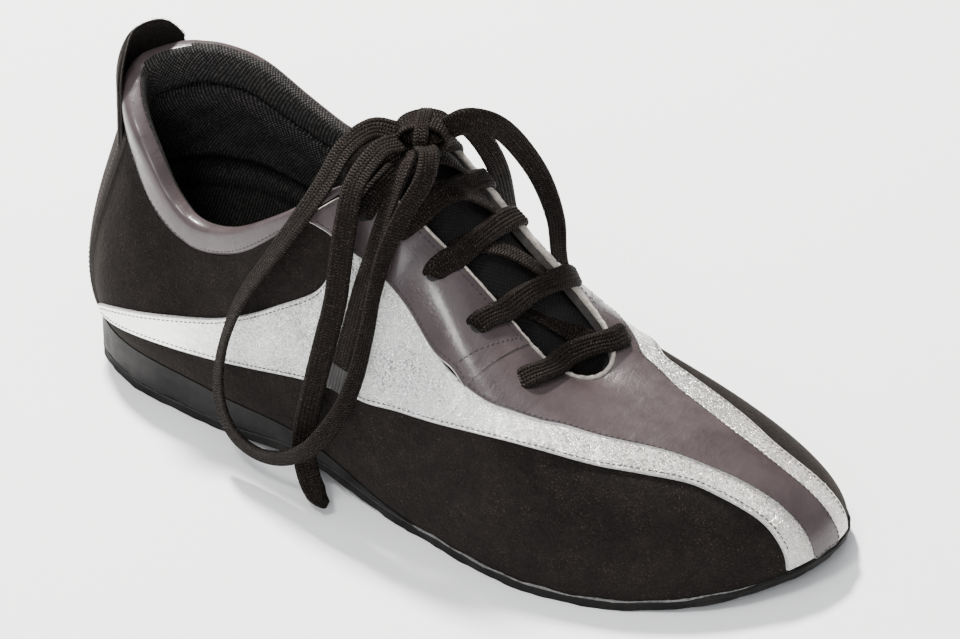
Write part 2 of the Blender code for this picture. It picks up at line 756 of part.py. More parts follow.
def make_bar(name, row, collection):
    """A flat lace from hole to hole, over both facings and across the throat."""
    outer_hole, outer_height, outer_edge, inner_edge, inner_hole, inner_height = row
    inner_hole = STATIONS - inner_hole
    inner_edge = STATIONS - inner_edge
    lift = OVERLAY_GAP + OVERLAY + LACE_LIFT
    share = np.linspace(0.0, 1.0, 4)
    station = outer_hole + (outer_edge - outer_hole) * share
    height = outer_height + (1.0 - outer_height) * share
    path = list(skin(station, height, lift))
    normals = list(last_normal(station, height))
    station = inner_edge + (inner_hole - inner_edge) * share
    height = 1.0 + (inner_height - 1.0) * share
    inner_path = list(skin(station, height, lift))
    inner_normals = list(last_normal(station, height))
    first, last = path[-1], inner_path[0]
    start = bridge(outer_edge, inner_edge, 0.0)
    end = bridge(outer_edge, inner_edge, 1.0)
    for step in np.linspace(0.0, 1.0, 7)[1:-1]:
        arch = bridge(outer_edge, inner_edge, step) - (start * (1.0 - step) + end * step)
        path.append(first * (1.0 - step) + last * step + arch * BAR_BOW)
        normals.append(normals[3] * (1.0 - step) + inner_normals[0] * step)
    path = np.array(path + inner_path)
    normals = np.array(normals + inner_normals)
    along = np.gradient(path, axis=0)
    normals -= along * (np.sum(normals * along, axis=1) / np.sum(along * along, axis=1))[:, None]
    normals /= np.linalg.norm(normals, axis=1, keepdims=True)
    side = np.cross(along, normals)
    side /= np.linalg.norm(side, axis=1, keepdims=True)
    edges = [path - side * LACE_WIDTH / 2.0, path + side * LACE_WIDTH / 2.0]
    low = np.array(edges)
    return sheet_object(name, low + normals * LACE_THICKNESS, low, LACE, collection)


def make_knot(collection):
    """The knot, a rounded lump with the loops and ends just clear of it."""
    mesh = bpy.data.meshes.new("lace_knot")
    shape = bmesh.new()
    bmesh.ops.create_uvsphere(shape, u_segments=12, v_segments=8, radius=0.5)
    for vertex in shape.verts:
        vertex.co.x *= KNOT_LENGTH
        vertex.co.y *= KNOT_WIDTH
        vertex.co.z *= KNOT_HEIGHT
    bmesh.ops.translate(shape, verts=shape.verts, vec=KNOT_PLACE)
    bmesh.ops.triangulate(shape, faces=shape.faces)
    shape.to_mesh(mesh)
    shape.free()
    mesh.shade_smooth()
    return new_object("lace_knot", mesh, LACE, collection)


def make_cord(name, route, collection):
    """A round cord along the smooth curve through its route."""
    fine = smooth_rows(route, 40 * len(route))
    run = np.concatenate([[0.0], np.cumsum(np.linalg.norm(np.diff(fine, axis=0), axis=1))])
    count = int(round(run[-1] / LACE_STEP)) + 1
    marks = np.linspace(0.0, run[-1], count)
    points = np.stack([np.interp(marks, run, fine[:, axis]) for axis in range(3)], axis=1)
    curve = bpy.data.curves.new(name, "CURVE")
    curve.dimensions = "3D"
    curve.bevel_depth = LACE_TUBE / 2.0
    curve.bevel_resolution = 2
    curve.use_fill_caps = True
    spline = curve.splines.new("POLY")
    spline.points.add(count - 1)
    for place, point in enumerate(points):
        spline.points[place].co = (*point, 1.0)
    spline.use_smooth = True
    curve.materials.append(make_material(LACE))
    item = bpy.data.objects.new(name, curve)
    collection.objects.link(item)
    return item


def main():
    clear_scene()
    collection = shoe_collection()
    make_outsole(collection)
    make_heel_wedge(collection)
    make_insole(collection)
    make_upper(collection)
    make_overlay("silver_panel_outer", SILVER_OUTER, SILVER, collection, samples=41)
    make_overlay("silver_panel_inner", SILVER_INNER, SILVER, collection, samples=41,
                 inner_side=True)
    make_overlay("eyestay_outer", EYESTAY_OUTER, PLUM, collection, samples=19)
    make_overlay("eyestay_inner", EYESTAY_INNER, PLUM, collection, samples=19, inner_side=True)
    make_overlay("vamp_strip", VAMP_STRIP, PLUM, collection, samples=49, crossings=6)
    make_overlay("heel_counter", COUNTER, SUEDE, collection, samples=9, crossings=8)
    make_collar(collection)
    make_heel_tab(collection)
    make_tongue(collection)
    for place, row in enumerate(BARS):
        make_bar(f"lace_bar_{place + 1}", row, collection)
    make_knot(collection)
    for name, route in BOW:
        make_cord(name, route, collection)


main()
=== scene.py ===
"""Looks of the dance sneaker, right shoe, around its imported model.

Metres, +X to the toe, +Y to the inner side, +Z up, origin on the floor under the heel. The upper is
a ring of stations round the last: 0 at the heel's back, 10 at the toe tip, the outer side between
them and the inner side from 11 to 19. A height runs from 0 at the sole to 1 at the top line.
"""

import math

import bmesh
import bpy
import numpy as np
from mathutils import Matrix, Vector


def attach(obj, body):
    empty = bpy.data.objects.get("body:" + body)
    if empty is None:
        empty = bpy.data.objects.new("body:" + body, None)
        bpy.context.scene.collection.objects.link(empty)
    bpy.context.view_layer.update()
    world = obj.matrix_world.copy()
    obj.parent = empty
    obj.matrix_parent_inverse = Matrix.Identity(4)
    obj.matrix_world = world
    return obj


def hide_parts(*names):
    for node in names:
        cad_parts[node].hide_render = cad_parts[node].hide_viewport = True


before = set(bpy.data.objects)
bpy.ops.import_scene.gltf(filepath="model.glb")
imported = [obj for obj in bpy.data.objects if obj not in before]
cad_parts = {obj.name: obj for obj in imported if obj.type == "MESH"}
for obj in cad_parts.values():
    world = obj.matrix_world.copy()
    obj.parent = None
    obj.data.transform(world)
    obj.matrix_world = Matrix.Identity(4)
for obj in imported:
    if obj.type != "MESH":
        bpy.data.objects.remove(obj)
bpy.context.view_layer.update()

# Sizes of the model, as its source has them
LENGTH = 0.288
HEEL_WIDTH = 0.071
BALL_WIDTH = 0.106
BACK_HEIGHT = 0.091
INSTEP_HEIGHT = 0.108
COLLAR_WIDTH = 0.060
THROAT_WIDTH = 0.028
THROAT_SHIFT = 0.004
HEEL_REACH = 0.035
SOLE_THICKNESS = 0.0035
HEEL_STACK = 0.0163
ARCH_RISE = 0.005
TOE_SPRING = 0.007
ARCH_START = 0.25
ARCH_SPAN = 0.30
SPRING_START = 0.80
WEDGE_START = 0.15
WEDGE_SPAN = 0.47
STATIONS = 20

# Feather line, top line and sections, with the columns that the model's source names
FEATHER_OUTER = (
    (0.014, 0.000, 0.000), (0.048, 0.325, 0.000), (0.140, 0.495, 0.000), (0.265, 0.520, 0.000),
    (0.400, 0.330, 0.155), (0.510, 0.100, 0.345), (0.610, 0.000, 0.450), (0.715, 0.000, 0.475),
    (0.830, 0.000, 0.395), (0.940, 0.000, 0.170), (0.993, 0.000, -0.150),
)
FEATHER_INNER = (
    (0.048, 0.300, 0.000), (0.140, 0.445, 0.000), (0.260, 0.455, 0.000), (0.390, 0.300, 0.105),
    (0.500, 0.100, 0.275), (0.615, 0.000, 0.400), (0.735, 0.000, 0.430), (0.865, 0.000, 0.440),
    (0.958, 0.000, 0.380),
)
TOP_OUTER = (
    (0.045, 0.000, 0.00, 0.00, 1.020, 0.000), (0.080, 0.283, 0.00, 0.00, 0.945, 0.000),
    (0.149, 0.442, 0.00, 0.00, 0.742, 0.000), (0.247, 0.500, 0.00, 0.00, 0.725, 0.000),
    (0.344, 0.500, 0.00, 0.00, 0.478, 0.403), (0.427, 0.150, 0.46, 1.00, 0.000, 0.990),
    (0.493, 0.000, 0.54, 1.00, 0.000, 0.889), (0.556, 0.000, 0.50, 1.00, 0.000, 0.759),
    (0.615, 0.000, 0.50, 1.00, 0.000, 0.630), (0.663, 0.000, 0.39, 1.00, 0.000, 0.509),
    (0.698, 0.000, 0.04, 1.00, 0.000, 0.454),
)
TOP_INNER = (
    (0.083, 0.283, 0.00, 0.00, 1.055, 0.000), (0.156, 0.467, 0.00, 0.00, 1.020, 0.000),
    (0.264, 0.517, 0.00, 0.00, 0.885, 0.000), (0.358, 0.500, 0.00, 0.00, 0.483, 0.407),
    (0.434, 0.150, 0.25, 0.62, 0.000, 1.000), (0.517, 0.000, 0.50, 1.00, 0.000, 0.861),
    (0.587, 0.000, 0.50, 1.00, 0.000, 0.722), (0.646, 0.000, 0.50, 1.00, 0.000, 0.602),
    (0.694, 0.000, 0.36, 1.00, 0.000, 0.500),
)
SECTION_OUTER = (
    (0.080, 0.35, 0.05, 0.30), (0.080, 0.33, 0.06, 0.30), (0.060, 0.30, 0.05, 0.32),
    (0.050, 0.30, 0.05, 0.35), (0.060, 0.30, 0.06, 0.38), (0.070, 0.26, 0.14, 0.34),
    (0.050, 0.28, 0.20, 0.22), (0.030, 0.35, 0.25, 0.10), (0.020, 0.42, 0.29, 0.10),
    (0.010, 0.50, 0.36, 0.08), (0.000, 0.58, 0.42, 0.05),
)
SECTION_INNER = (
    (0.080, 0.33, 0.06, 0.30), (0.060, 0.30, 0.05, 0.32), (0.050, 0.30, 0.05, 0.35),
    (0.060, 0.30, 0.06, 0.38), (0.050, 0.28, 0.12, 0.32), (0.020, 0.25, 0.14, 0.28),
    (0.010, 0.25, 0.15, 0.25), (0.000, 0.28, 0.20, 0.24), (0.000, 0.42, 0.28, 0.16),
)

# Overlays: low station, low height, high station, high height
SILVER_BACK = (
    (1.00, 0.030, 1.00, 0.050), (1.50, 0.100, 1.45, 0.200), (2.10, 0.200, 2.00, 0.370),
    (2.60, 0.270, 2.60, 0.530), (3.10, 0.330, 3.20, 0.630),
)
SILVER_OUTER = SILVER_BACK + (
    (3.70, 0.355, 3.90, 0.685), (4.35, 0.380, 4.50, 0.710), (5.00, 0.390, 4.95, 0.795),
    (5.75, 0.420, 5.50, 0.750), (6.50, 0.450, 6.20, 0.700), (7.10, 0.485, 6.85, 0.590),
    (7.60, 0.520, 7.40, 0.585), (8.10, 0.550, 8.00, 0.632), (8.60, 0.562, 8.60, 0.678),
    (9.00, 0.556, 9.15, 0.672), (9.32, 0.510, 9.50, 0.620), (9.44, 0.420, 9.68, 0.480),
    (9.51, 0.290, 9.74, 0.330), (9.50, 0.160, 9.75, 0.180), (9.48, 0.020, 9.74, 0.020),
)
SILVER_INNER = SILVER_BACK + (
    (3.70, 0.360, 3.90, 0.685), (4.35, 0.400, 4.50, 0.710), (5.00, 0.430, 4.95, 0.795),
    (5.75, 0.480, 5.50, 0.750), (6.50, 0.530, 6.20, 0.700), (7.20, 0.590, 6.95, 0.665),
    (7.80, 0.660, 7.65, 0.735), (8.40, 0.735, 8.30, 0.815), (8.85, 0.790, 8.90, 0.865),
    (9.12, 0.735, 9.25, 0.825), (9.32, 0.655, 9.50, 0.770), (9.48, 0.560, 9.70, 0.650),
    (9.59, 0.480, 9.80, 0.530), (9.62, 0.370, 9.86, 0.400), (9.60, 0.240, 9.87, 0.250),
    (9.58, 0.120, 9.87, 0.120), (9.60, 0.020, 9.87, 0.020),
)
EYESTAY_BACK = (
    (4.35, 0.965, 4.42, 0.995), (4.60, 0.895, 4.80, 0.995), (4.95, 0.815, 5.25, 0.995),
    (5.50, 0.768, 5.80, 0.995), (6.15, 0.722, 6.50, 0.995),
)
EYESTAY_OUTER = EYESTAY_BACK + ((6.60, 0.655, 7.20, 0.995), (6.88, 0.640, 8.20, 0.995))
EYESTAY_INNER = EYESTAY_BACK + ((6.65, 0.700, 7.20, 0.995), (7.05, 0.700, 8.10, 0.995))
VAMP_STRIP = (
    (6.93, 0.612, 8.25, 0.995), (7.35, 0.605, 8.45, 0.995), (7.75, 0.630, 8.65, 0.995),
    (8.15, 0.660, 8.85, 0.995), (8.60, 0.695, 9.05, 0.995), (9.17, 0.690, 9.25, 0.995),
    (9.52, 0.636, 9.42, 0.995), (9.705, 0.490, 9.55, 0.995), (9.765, 0.335, 9.65, 0.995),
    (9.775, 0.180, 9.75, 0.995), (9.765, 0.020, 9.82, 0.995), (9.94, 0.020, 9.93, 0.995),
    (10.105, 0.020, 10.02, 0.995), (10.105, 0.120, 10.08, 0.995), (10.105, 0.250, 10.14, 0.995),
    (10.115, 0.403, 10.20, 0.995), (10.175, 0.538, 10.27, 0.995), (10.275, 0.662, 10.37, 0.995),
    (10.48, 0.786, 10.52, 0.995), (10.73, 0.843, 10.73, 0.995), (11.06, 0.884, 11.00, 0.995),
    (11.72, 0.830, 11.30, 0.995), (12.38, 0.750, 11.60, 0.995), (12.92, 0.705, 11.85, 0.995),
)
COUNTER = (
    (-0.95, 0.020, -0.90, 0.985), (-0.48, 0.020, -0.45, 0.985), (0.00, 0.020, 0.00, 0.985),
    (0.48, 0.020, 0.45, 0.985), (0.95, 0.020, 0.90, 0.985),
)

# Camera: the photo's place and angle, turned and zoomed to the one shoe
CAMERA_PLACE = (1.028, -1.257, 1.135)
PHOTO_AIM = (0.073, 0.113, 0.0)
PHOTO_FOCUS = 4000.0
PHOTO_SIZE = (960.0, 639.0)
SHOE_MIDDLE = (428.0, 362.0)
ZOOM = 1.42
SENSOR = 36.0


def unit(vector):
    vector = np.asarray(vector, float)
    return vector / np.maximum(np.linalg.norm(vector, axis=-1, keepdims=True), 1e-12)


# The last

def spline_controls(values):
    """Control points of the closed cubic B-spline that passes through the values."""
    count = len(values)
    matrix = np.eye(count) * 4.0 / 6.0
    for row in range(count):
        matrix[row, (row + 1) % count] += 1.0 / 6.0
        matrix[row, row - 1] += 1.0 / 6.0
    return np.linalg.solve(matrix, values)


def ring_of(outer, inner, place):
    rows = [place(row, -1.0) for row in outer]
    rows += [place(row, 1.0) for row in reversed(inner)]
    return spline_controls(np.array(rows))


def ring_value(controls, station):
    station = np.asarray(station, float)
    base = np.floor(station).astype(int)
    t = (station - base)[..., None]
    weights = ((1.0 - t) ** 3 / 6.0, (3.0 * t ** 3 - 6.0 * t ** 2 + 4.0) / 6.0,
               (-3.0 * t ** 3 + 3.0 * t ** 2 + 3.0 * t + 1.0) / 6.0, t ** 3 / 6.0)
    count = len(controls)
    return sum(weight * controls[(base - 1 + place) % count] for place, weight in enumerate(weights))


def feather_row(row, side):
    along, heel, ball = row
    return along * LENGTH - HEEL_REACH, side * (heel * HEEL_WIDTH + ball * BALL_WIDTH), 0.0


def top_row(row, side):
    along, collar, throat, shift, back, instep = row
    y = side * (collar * COLLAR_WIDTH + throat * THROAT_WIDTH) + shift * THROAT_SHIFT
    return along * LENGTH - HEEL_REACH, y, back * BACK_HEIGHT + instep * INSTEP_HEIGHT


FEATHER = ring_of(FEATHER_OUTER, FEATHER_INNER, feather_row)
TOP = ring_of(TOP_OUTER, TOP_INNER, top_row)
SECTION = ring_of(SECTION_OUTER, SECTION_INNER, lambda row, side: row)


def floor_gap(x):
    share = (x + HEEL_REACH) / LENGTH
    arch = np.sin(np.pi * np.clip((share - ARCH_START) / ARCH_SPAN, 0.0, 1.0)) ** 2
    spring = np.maximum((share - SPRING_START) / (1.0 - SPRING_START), 0.0) ** 2
    return ARCH_RISE * arch + TOE_SPRING * spring


def seat_top(x):
    share = (x + HEEL_REACH) / LENGTH
    step = np.clip((share - WEDGE_START) / WEDGE_SPAN, 0.0, 1.0)
    wedge = (HEEL_STACK - SOLE_THICKNESS) * (1.0 - step * step * (3.0 - 2.0 * step))
    return floor_gap(x) + SOLE_THICKNESS + wedge


def outward(station):
    station = np.asarray(station, float)
    along = ring_value(FEATHER, station + 0.02) - ring_value(FEATHER, station - 0.02)
    return unit(np.stack([along[..., 1], -along[..., 0], np.zeros_like(along[..., 0])], axis=-1))


def section_frame(station):
    foot = ring_value(FEATHER, station)
    foot[..., 2] = seat_top(foot[..., 0])
    head = ring_value(TOP, station)
    shape = ring_value(SECTION, station)
    away = outward(station)
    rise = np.zeros_like(foot)
    rise[..., 2] = head[..., 2] - foot[..., 2]
    low = foot + away * shape[..., 0:1] * BALL_WIDTH + rise * shape[..., 1:2]
    high = head + away * shape[..., 2:3] * BALL_WIDTH - rise * shape[..., 3:4]
    return foot, low, high, head


def smooth_point(station, height):
    station, height = np.broadcast_arrays(np.asarray(station, float), np.asarray(height, float))
    foot, low, high, head = section_frame(station)
    t = height[..., None]
    s = 1.0 - t
    return s ** 3 * foot + 3.0 * s * s * t * low + 3.0 * s * t * t * high + t ** 3 * head


def smooth_normal(station, height):
    round_way = smooth_point(station + 0.01, height) - smooth_point(station - 0.01, height)
    up_way = smooth_point(station, height + 0.005) - smooth_point(station, height - 0.005)
    return unit(np.cross(round_way, up_way))


# Creases in the upper: from station and height, to station and height, width and depth
CREASES = (
    (4.30, 0.74, 5.20, 0.28, 0.0050, 0.0010),
    (4.75, 0.66, 5.55, 0.22, 0.0060, -0.0008),
    (5.20, 0.38, 5.95, 0.12, 0.0050, 0.0007),
    (6.60, 0.46, 7.30, 0.20, 0.0070, 0.0007),
    (7.40, 0.52, 7.90, 0.18, 0.0080, 0.0006),
    (14.80, 0.70, 14.20, 0.25, 0.0055, 0.0009),
    (14.30, 0.62, 13.60, 0.20, 0.0060, -0.0007),
    (12.80, 0.60, 12.40, 0.22, 0.0080, 0.0007),
    (2.20, 0.80, 3.10, 0.64, 0.0060, 0.0005),
    (0.95, 0.70, 1.80, 0.55, 0.0070, 0.0005),
)


def relief(point):
    """How far creases push the surface in, by distance from each crease's chord."""
    push = np.zeros(point.shape[:-1])
    for start, end, width, depth in CREASE_LINES:
        chord = end - start
        t = np.clip(np.sum((point - start) * chord, axis=-1) / np.sum(chord * chord), -0.2, 1.2)
        gap = np.linalg.norm(point - (start + t[..., None] * chord), axis=-1)
        fade = np.clip(1.2 - np.abs(2.0 * t - 1.0), 0.0, 1.0)
        push += depth * fade * np.exp(-(gap / width) ** 2)
    return push


CREASE_LINES = [
    (smooth_point(a, b), smooth_point(c, d), width, depth) for a, b, c, d, width, depth in CREASES
]


def skin(station, height, offset):
    """Point of the creased surface moved outward by the offset."""
    station, height = np.broadcast_arrays(np.asarray(station, float), np.asarray(height, float))
    point = smooth_point(station, height)
    lift = np.asarray(offset) - relief(point)
    return point + smooth_normal(station, height) * lift[..., None]


def smooth_rows(rows, samples):
    """Rows resampled along a curve that passes through each of them."""
    rows = np.array(rows, float)
    padded = np.vstack([2.0 * rows[0] - rows[1], rows, 2.0 * rows[-1] - rows[-2]])
    place = np.linspace(0.0, len(rows) - 1.0, samples)
    base = np.minimum(place.astype(int), len(rows) - 2)
    t = (place - base)[:, None]
    before, start, end, after = (padded[base + step] for step in range(4))
    return 0.5 * (2.0 * start + (end - before) * t
                  + (2.0 * before - 5.0 * start + 4.0 * end - after) * t ** 2
                  + (3.0 * start - before - 3.0 * end + after) * t ** 3)


def run_of(grid, axis):
    """Distance along an axis of points, from its first row or column."""
    steps = np.linalg.norm(np.diff(grid, axis=axis), axis=-1)
    start = np.zeros_like(np.take(steps, [0], axis=axis))
    return np.concatenate([start, np.cumsum(steps, axis=axis)], axis=axis)


def at_marks(marks, run, values):
    """Values given at the distances of a run, read at other distances."""
    return np.stack([np.interp(marks, run, column) for column in np.transpose(values)], axis=1)


def even(points, step):
    """A polyline resampled at even distances, with the new and the old distances."""
    run = run_of(points, 0)
    marks = np.linspace(0.0, run[-1], max(2, int(round(run[-1] / step)) + 1))
    return at_marks(marks, run, points), marks, run


def square_to(along, way):
    """Unit part of a way that is square to the direction along."""
    return unit(way - along * np.sum(way * along, axis=-1, keepdims=True))


def turned(path, way, shares, degrees):
    """Face directions from a way, turned about the path by degrees at shares of its length."""
    along = unit(np.gradient(path, axis=0))
    face = square_to(along, np.asarray(way))
    angle = np.radians(np.interp(np.linspace(0.0, 1.0, len(path)), shares, degrees))[:, None]
    return face * np.cos(angle) + np.cross(along, face) * np.sin(angle)


def circle(count):
    return np.linspace(0.0, 2.0 * math.pi, count + 1)[:-1]


def oval(count, half_width, half_height):
    turn = circle(count)
    return np.stack([np.cos(turn) * half_width, np.sin(turn) * half_height], axis=1)


# Materials

class Shade:
    """A material's nodes, with short calls for the few kinds that are used here."""

    def __init__(self, name, colour, roughness, **sockets):
        self.material = bpy.data.materials.new(name)
        self.material.use_nodes = True
        self.tree = self.material.node_tree
        self.shader = self.tree.nodes["Principled BSDF"]
        self.put(self.shader.inputs["Base Color"], colour)
        self.put(self.shader.inputs["Roughness"], roughness)
        for socket, value in sockets.items():
            self.put(self.shader.inputs[socket.replace("_", " ")], value)
        self.height = None
        self.last_colour = None
        self.place = self.node("ShaderNodeTexCoord").outputs["Object"]

    def node(self, kind, sockets=None, **values):
        item = self.tree.nodes.new(kind)
        for key, value in values.items():
            setattr(item, key, value)
        for socket, value in (sockets or {}).items():
            self.put(item.inputs[socket], value)
        return item

    def link(self, source, target):
        self.tree.links.new(source, target)

    def put(self, socket, value):
        """Set a socket to a number, colour or vector, or link it to another node's output."""
        if isinstance(value, (int, float)):
            socket.default_value = value
        elif isinstance(value, tuple):
            socket.default_value = (*value, 1.0) if socket.type == "RGBA" else value
        else:
            self.link(value, socket)

    def noise(self, scale, detail=3.0, rough=0.55, place=None, distortion=0.0):
        sockets = {"Vector": place or self.place, "Scale": scale, "Detail": detail, "Roughness": rough,
                   "Distortion": distortion}
        return self.node("ShaderNodeTexNoise", sockets).outputs["Fac"]

    def cells(self, scale, feature="F1", randomness=1.0):
        sockets = {"Vector": self.place, "Scale": scale, "Randomness": randomness}
        return self.node("ShaderNodeTexVoronoi", sockets, feature=feature).outputs["Distance"]

    def maths(self, operation, first, second=0.0, clamp=False):
        sockets = {0: first, 1: second}
        return self.node("ShaderNodeMath", sockets, operation=operation, use_clamp=clamp).outputs[0]

    def times(self, first, second):
        return self.maths("MULTIPLY", first, second)

    def plus(self, first, second, clamp=False):
        return self.maths("ADD", first, second, clamp)

    def zigzag(self, value):
        """A wave that falls from 0.5 to 0 and climbs back once in each whole step of the value."""
        return self.maths("ABSOLUTE", self.maths("SUBTRACT", self.maths("FRACT", value), 0.5))

    def spread(self, value, low, high, to_low=0.0, to_high=1.0):
        sockets = {"Value": value, "From Min": low, "From Max": high, "To Min": to_low, "To Max": to_high}
        return self.node("ShaderNodeMapRange", sockets).outputs["Result"]

    def mix(self, share, first, second):
        sockets = {"Factor": share, 6: first, 7: second}
        return self.node("ShaderNodeMix", sockets, data_type="RGBA").outputs[2]

    def stretched(self, scale):
        return self.node("ShaderNodeMapping", {"Vector": self.place, "Scale": scale}).outputs["Vector"]

    def split(self, place):
        return self.node("ShaderNodeSeparateXYZ", {"Vector": place}).outputs

    def sheet_place(self):
        """Metres along and across a piece's own sheet."""
        place = self.split(self.node("ShaderNodeUVMap", uv_map="sheet").outputs["UV"])
        return place["X"], place["Y"]

    def colour(self, value):
        self.last_colour = value
        self.link(value, self.shader.inputs["Base Color"])

    def roughness(self, value):
        self.link(value, self.shader.inputs["Roughness"])

    def bump(self, height, strength, distance):
        sockets = {"Strength": strength, "Distance": distance, "Height": height}
        if self.height is not None:
            sockets["Normal"] = self.height
        self.height = self.node("ShaderNodeBump", sockets).outputs["Normal"]
        self.link(self.height, self.shader.inputs["Normal"])


def suede_material(name, tone):
    """Black suede: short nap with brushed lighter and darker patches, lint and rubbed spots."""
    dark = (0.0030 * tone, 0.0025 * tone, 0.0023 * tone)
    light = (0.0118 * tone, 0.0094 * tone, 0.0084 * tone)
    shade = Shade(name, dark, 0.94, Specular_IOR_Level=0.10, Sheen_Weight=0.055, Sheen_Roughness=0.40,
                  Sheen_Tint=(0.66, 0.56, 0.50))
    patches = shade.noise(42.0, 4.0, 0.6, distortion=0.6)
    nap = shade.noise(1500.0, 2.0, 0.6)
    fibres = shade.noise(620.0, 3.0, 0.7)
    brushed = shade.noise(210.0, 5.0, 0.7, distortion=0.8)
    share = shade.times(shade.spread(patches, 0.36, 0.70), 0.30)
    share = shade.plus(share, shade.spread(brushed, 0.44, 0.68, 0.0, 0.42))
    share = shade.plus(share, shade.times(shade.spread(nap, 0.38, 0.68), 0.62), clamp=True)
    base = shade.mix(share, dark, light)
    lint = shade.spread(shade.noise(1900.0, 1.0, 0.5), 0.60, 0.74)
    lint = shade.times(lint, shade.spread(shade.noise(120.0, 3.0, 0.6), 0.35, 0.65))
    shade.colour(shade.mix(shade.times(lint, 0.42), base, (0.085, 0.066, 0.052)))
    shade.bump(fibres, 0.55, 0.0006)
    shade.bump(nap, 0.50, 0.0003)
    return shade.material


def plum_material():
    """Smooth plum-grey leather: fine grain, faint mottling, soft gloss."""
    shade = Shade("plum", (0.070, 0.055, 0.060), 0.30, Specular_IOR_Level=0.25, Coat_Weight=0.26,
                  Coat_Roughness=0.17)
    mottle = shade.noise(55.0, 4.0, 0.6)
    grain = shade.cells(1050.0)
    pores = shade.noise(2100.0, 2.0, 0.6)
    base = shade.mix(shade.spread(mottle, 0.3, 0.72), (0.038, 0.027, 0.029), (0.062, 0.047, 0.049))
    rubbed = shade.spread(shade.noise(130.0, 4.0, 0.65), 0.60, 0.78)
    shade.colour(shade.mix(shade.times(rubbed, 0.35), base, (0.100, 0.082, 0.082)))
    shade.roughness(shade.spread(shade.noise(240.0, 3.0, 0.6), 0.3, 0.7, 0.26, 0.44))
    wrinkles = shade.noise(170.0, 3.0, 0.55, place=shade.stretched((1.0, 0.45, 0.8)), distortion=0.8)
    shade.bump(wrinkles, 0.35, 0.0007)
    shade.bump(grain, 0.22, 0.00022)
    shade.bump(pores, 0.18, 0.00012)
    return shade.material


def silver_material():
    """Metallic leather: smooth plain silver at the heel, crackled foil with fine crinkle forward."""
    shade = Shade("silver", (0.80, 0.80, 0.79), 0.34, Metallic=0.90)
    x = shade.split(shade.place)["X"]
    forward = shade.spread(x, 0.020, 0.070)
    toe = shade.spread(x, 0.135, 0.165, 1.0, 0.62)
    crinkled = shade.times(forward, toe)
    crackle = shade.cells(760.0, "DISTANCE_TO_EDGE")
    crumple = shade.noise(420.0, 5.0, 0.72, distortion=0.9)
    patches = shade.noise(60.0, 4.0, 0.6)
    base = shade.mix(shade.spread(patches, 0.3, 0.75), (0.82, 0.82, 0.80), (0.98, 0.98, 0.97))
    # Toward the toe the silver turns browner and darker: partly its own tone, partly painted shade for the
    # dimmer reflection the metal gives there.
    toe_tone_and_painted_shade = shade.spread(x, 0.135, 0.200, 0.0, 0.85)
    base = shade.mix(toe_tone_and_painted_shade, base, (0.57, 0.535, 0.50))
    worn = shade.times(shade.spread(crumple, 0.58, 0.74), crinkled)
    shade.colour(shade.mix(shade.times(worn, 0.25), base, (0.42, 0.42, 0.415)))
    glitter = shade.noise(1250.0, 2.0, 0.7)
    # Darker greenish grey specks, in noise patches over the crinkled foil.
    dark_specks = shade.times(shade.spread(glitter, 0.53, 0.60), crinkled)
    dark_specks = shade.times(dark_specks, shade.spread(shade.noise(38.0, 3.0, 0.6), 0.40, 0.60, 0.10, 0.95))
    shade.colour(shade.mix(dark_specks, shade.last_colour, (0.22, 0.24, 0.24)))
    shade.roughness(shade.spread(glitter, 0.35, 0.65, 0.12, 0.42))
    height = shade.times(crumple, shade.plus(shade.times(crinkled, 0.9), 0.1))
    shade.bump(height, 1.0, 0.0020)
    shade.bump(shade.times(glitter, crinkled), 0.90, 0.00075)
    shade.bump(shade.times(shade.spread(crackle, 0.0, 0.12), crinkled), 0.30, 0.00025)
    shade.bump(shade.noise(1900.0, 2.0, 0.6), 0.15, 0.0001)
    return shade.material


def mesh_material(name, size, glow):
    """Spacer mesh: staggered rows of small open cells between raised threads."""
    shade = Shade(name, (0.008, 0.008, 0.008), 0.75, Specular_IOR_Level=0.15)
    across, along = shade.sheet_place()
    turn = 2.0 * math.pi / size
    across = shade.maths("SINE", shade.times(across, turn))
    along = shade.maths("SINE", shade.times(along, turn * 0.8))
    dots = shade.times(across, along)
    uneven = shade.times(shade.noise(1100.0, 2.0, 0.6), 2.6)
    weave = shade.plus(dots, shade.maths("SUBTRACT", uneven, 1.3))
    raised = shade.spread(weave, 0.10, 0.70)
    shade.colour(shade.mix(raised, (0.006, 0.006, 0.006), glow))
    shade.roughness(shade.spread(weave, 0.0, 0.8, 0.85, 0.55))
    shade.bump(raised, 0.6, 0.0004)
    return shade.material


def rubber_material(name, low, high, roughness):
    """Smooth rubber with dust, faint scuffs and a slightly uneven cut."""
    shade = Shade(name, low, roughness, Specular_IOR_Level=0.14)
    dust = shade.noise(85.0, 5.0, 0.65)
    scuffs = shade.noise(260.0, 4.0, 0.7, place=shade.stretched((1.0, 1.0, 4.0)))
    base = shade.mix(shade.spread(dust, 0.35, 0.75), low, high)
    pale = tuple(2.2 * value for value in high)
    shade.colour(shade.mix(shade.spread(scuffs, 0.66, 0.80, 0.0, 0.5), base, pale))
    shade.roughness(shade.spread(dust, 0.3, 0.7, roughness + 0.08, roughness - 0.10))
    shade.bump(scuffs, 0.30, 0.0004)
    shade.bump(shade.noise(1600.0, 2.0, 0.6), 0.12, 0.0002)
    return shade.material


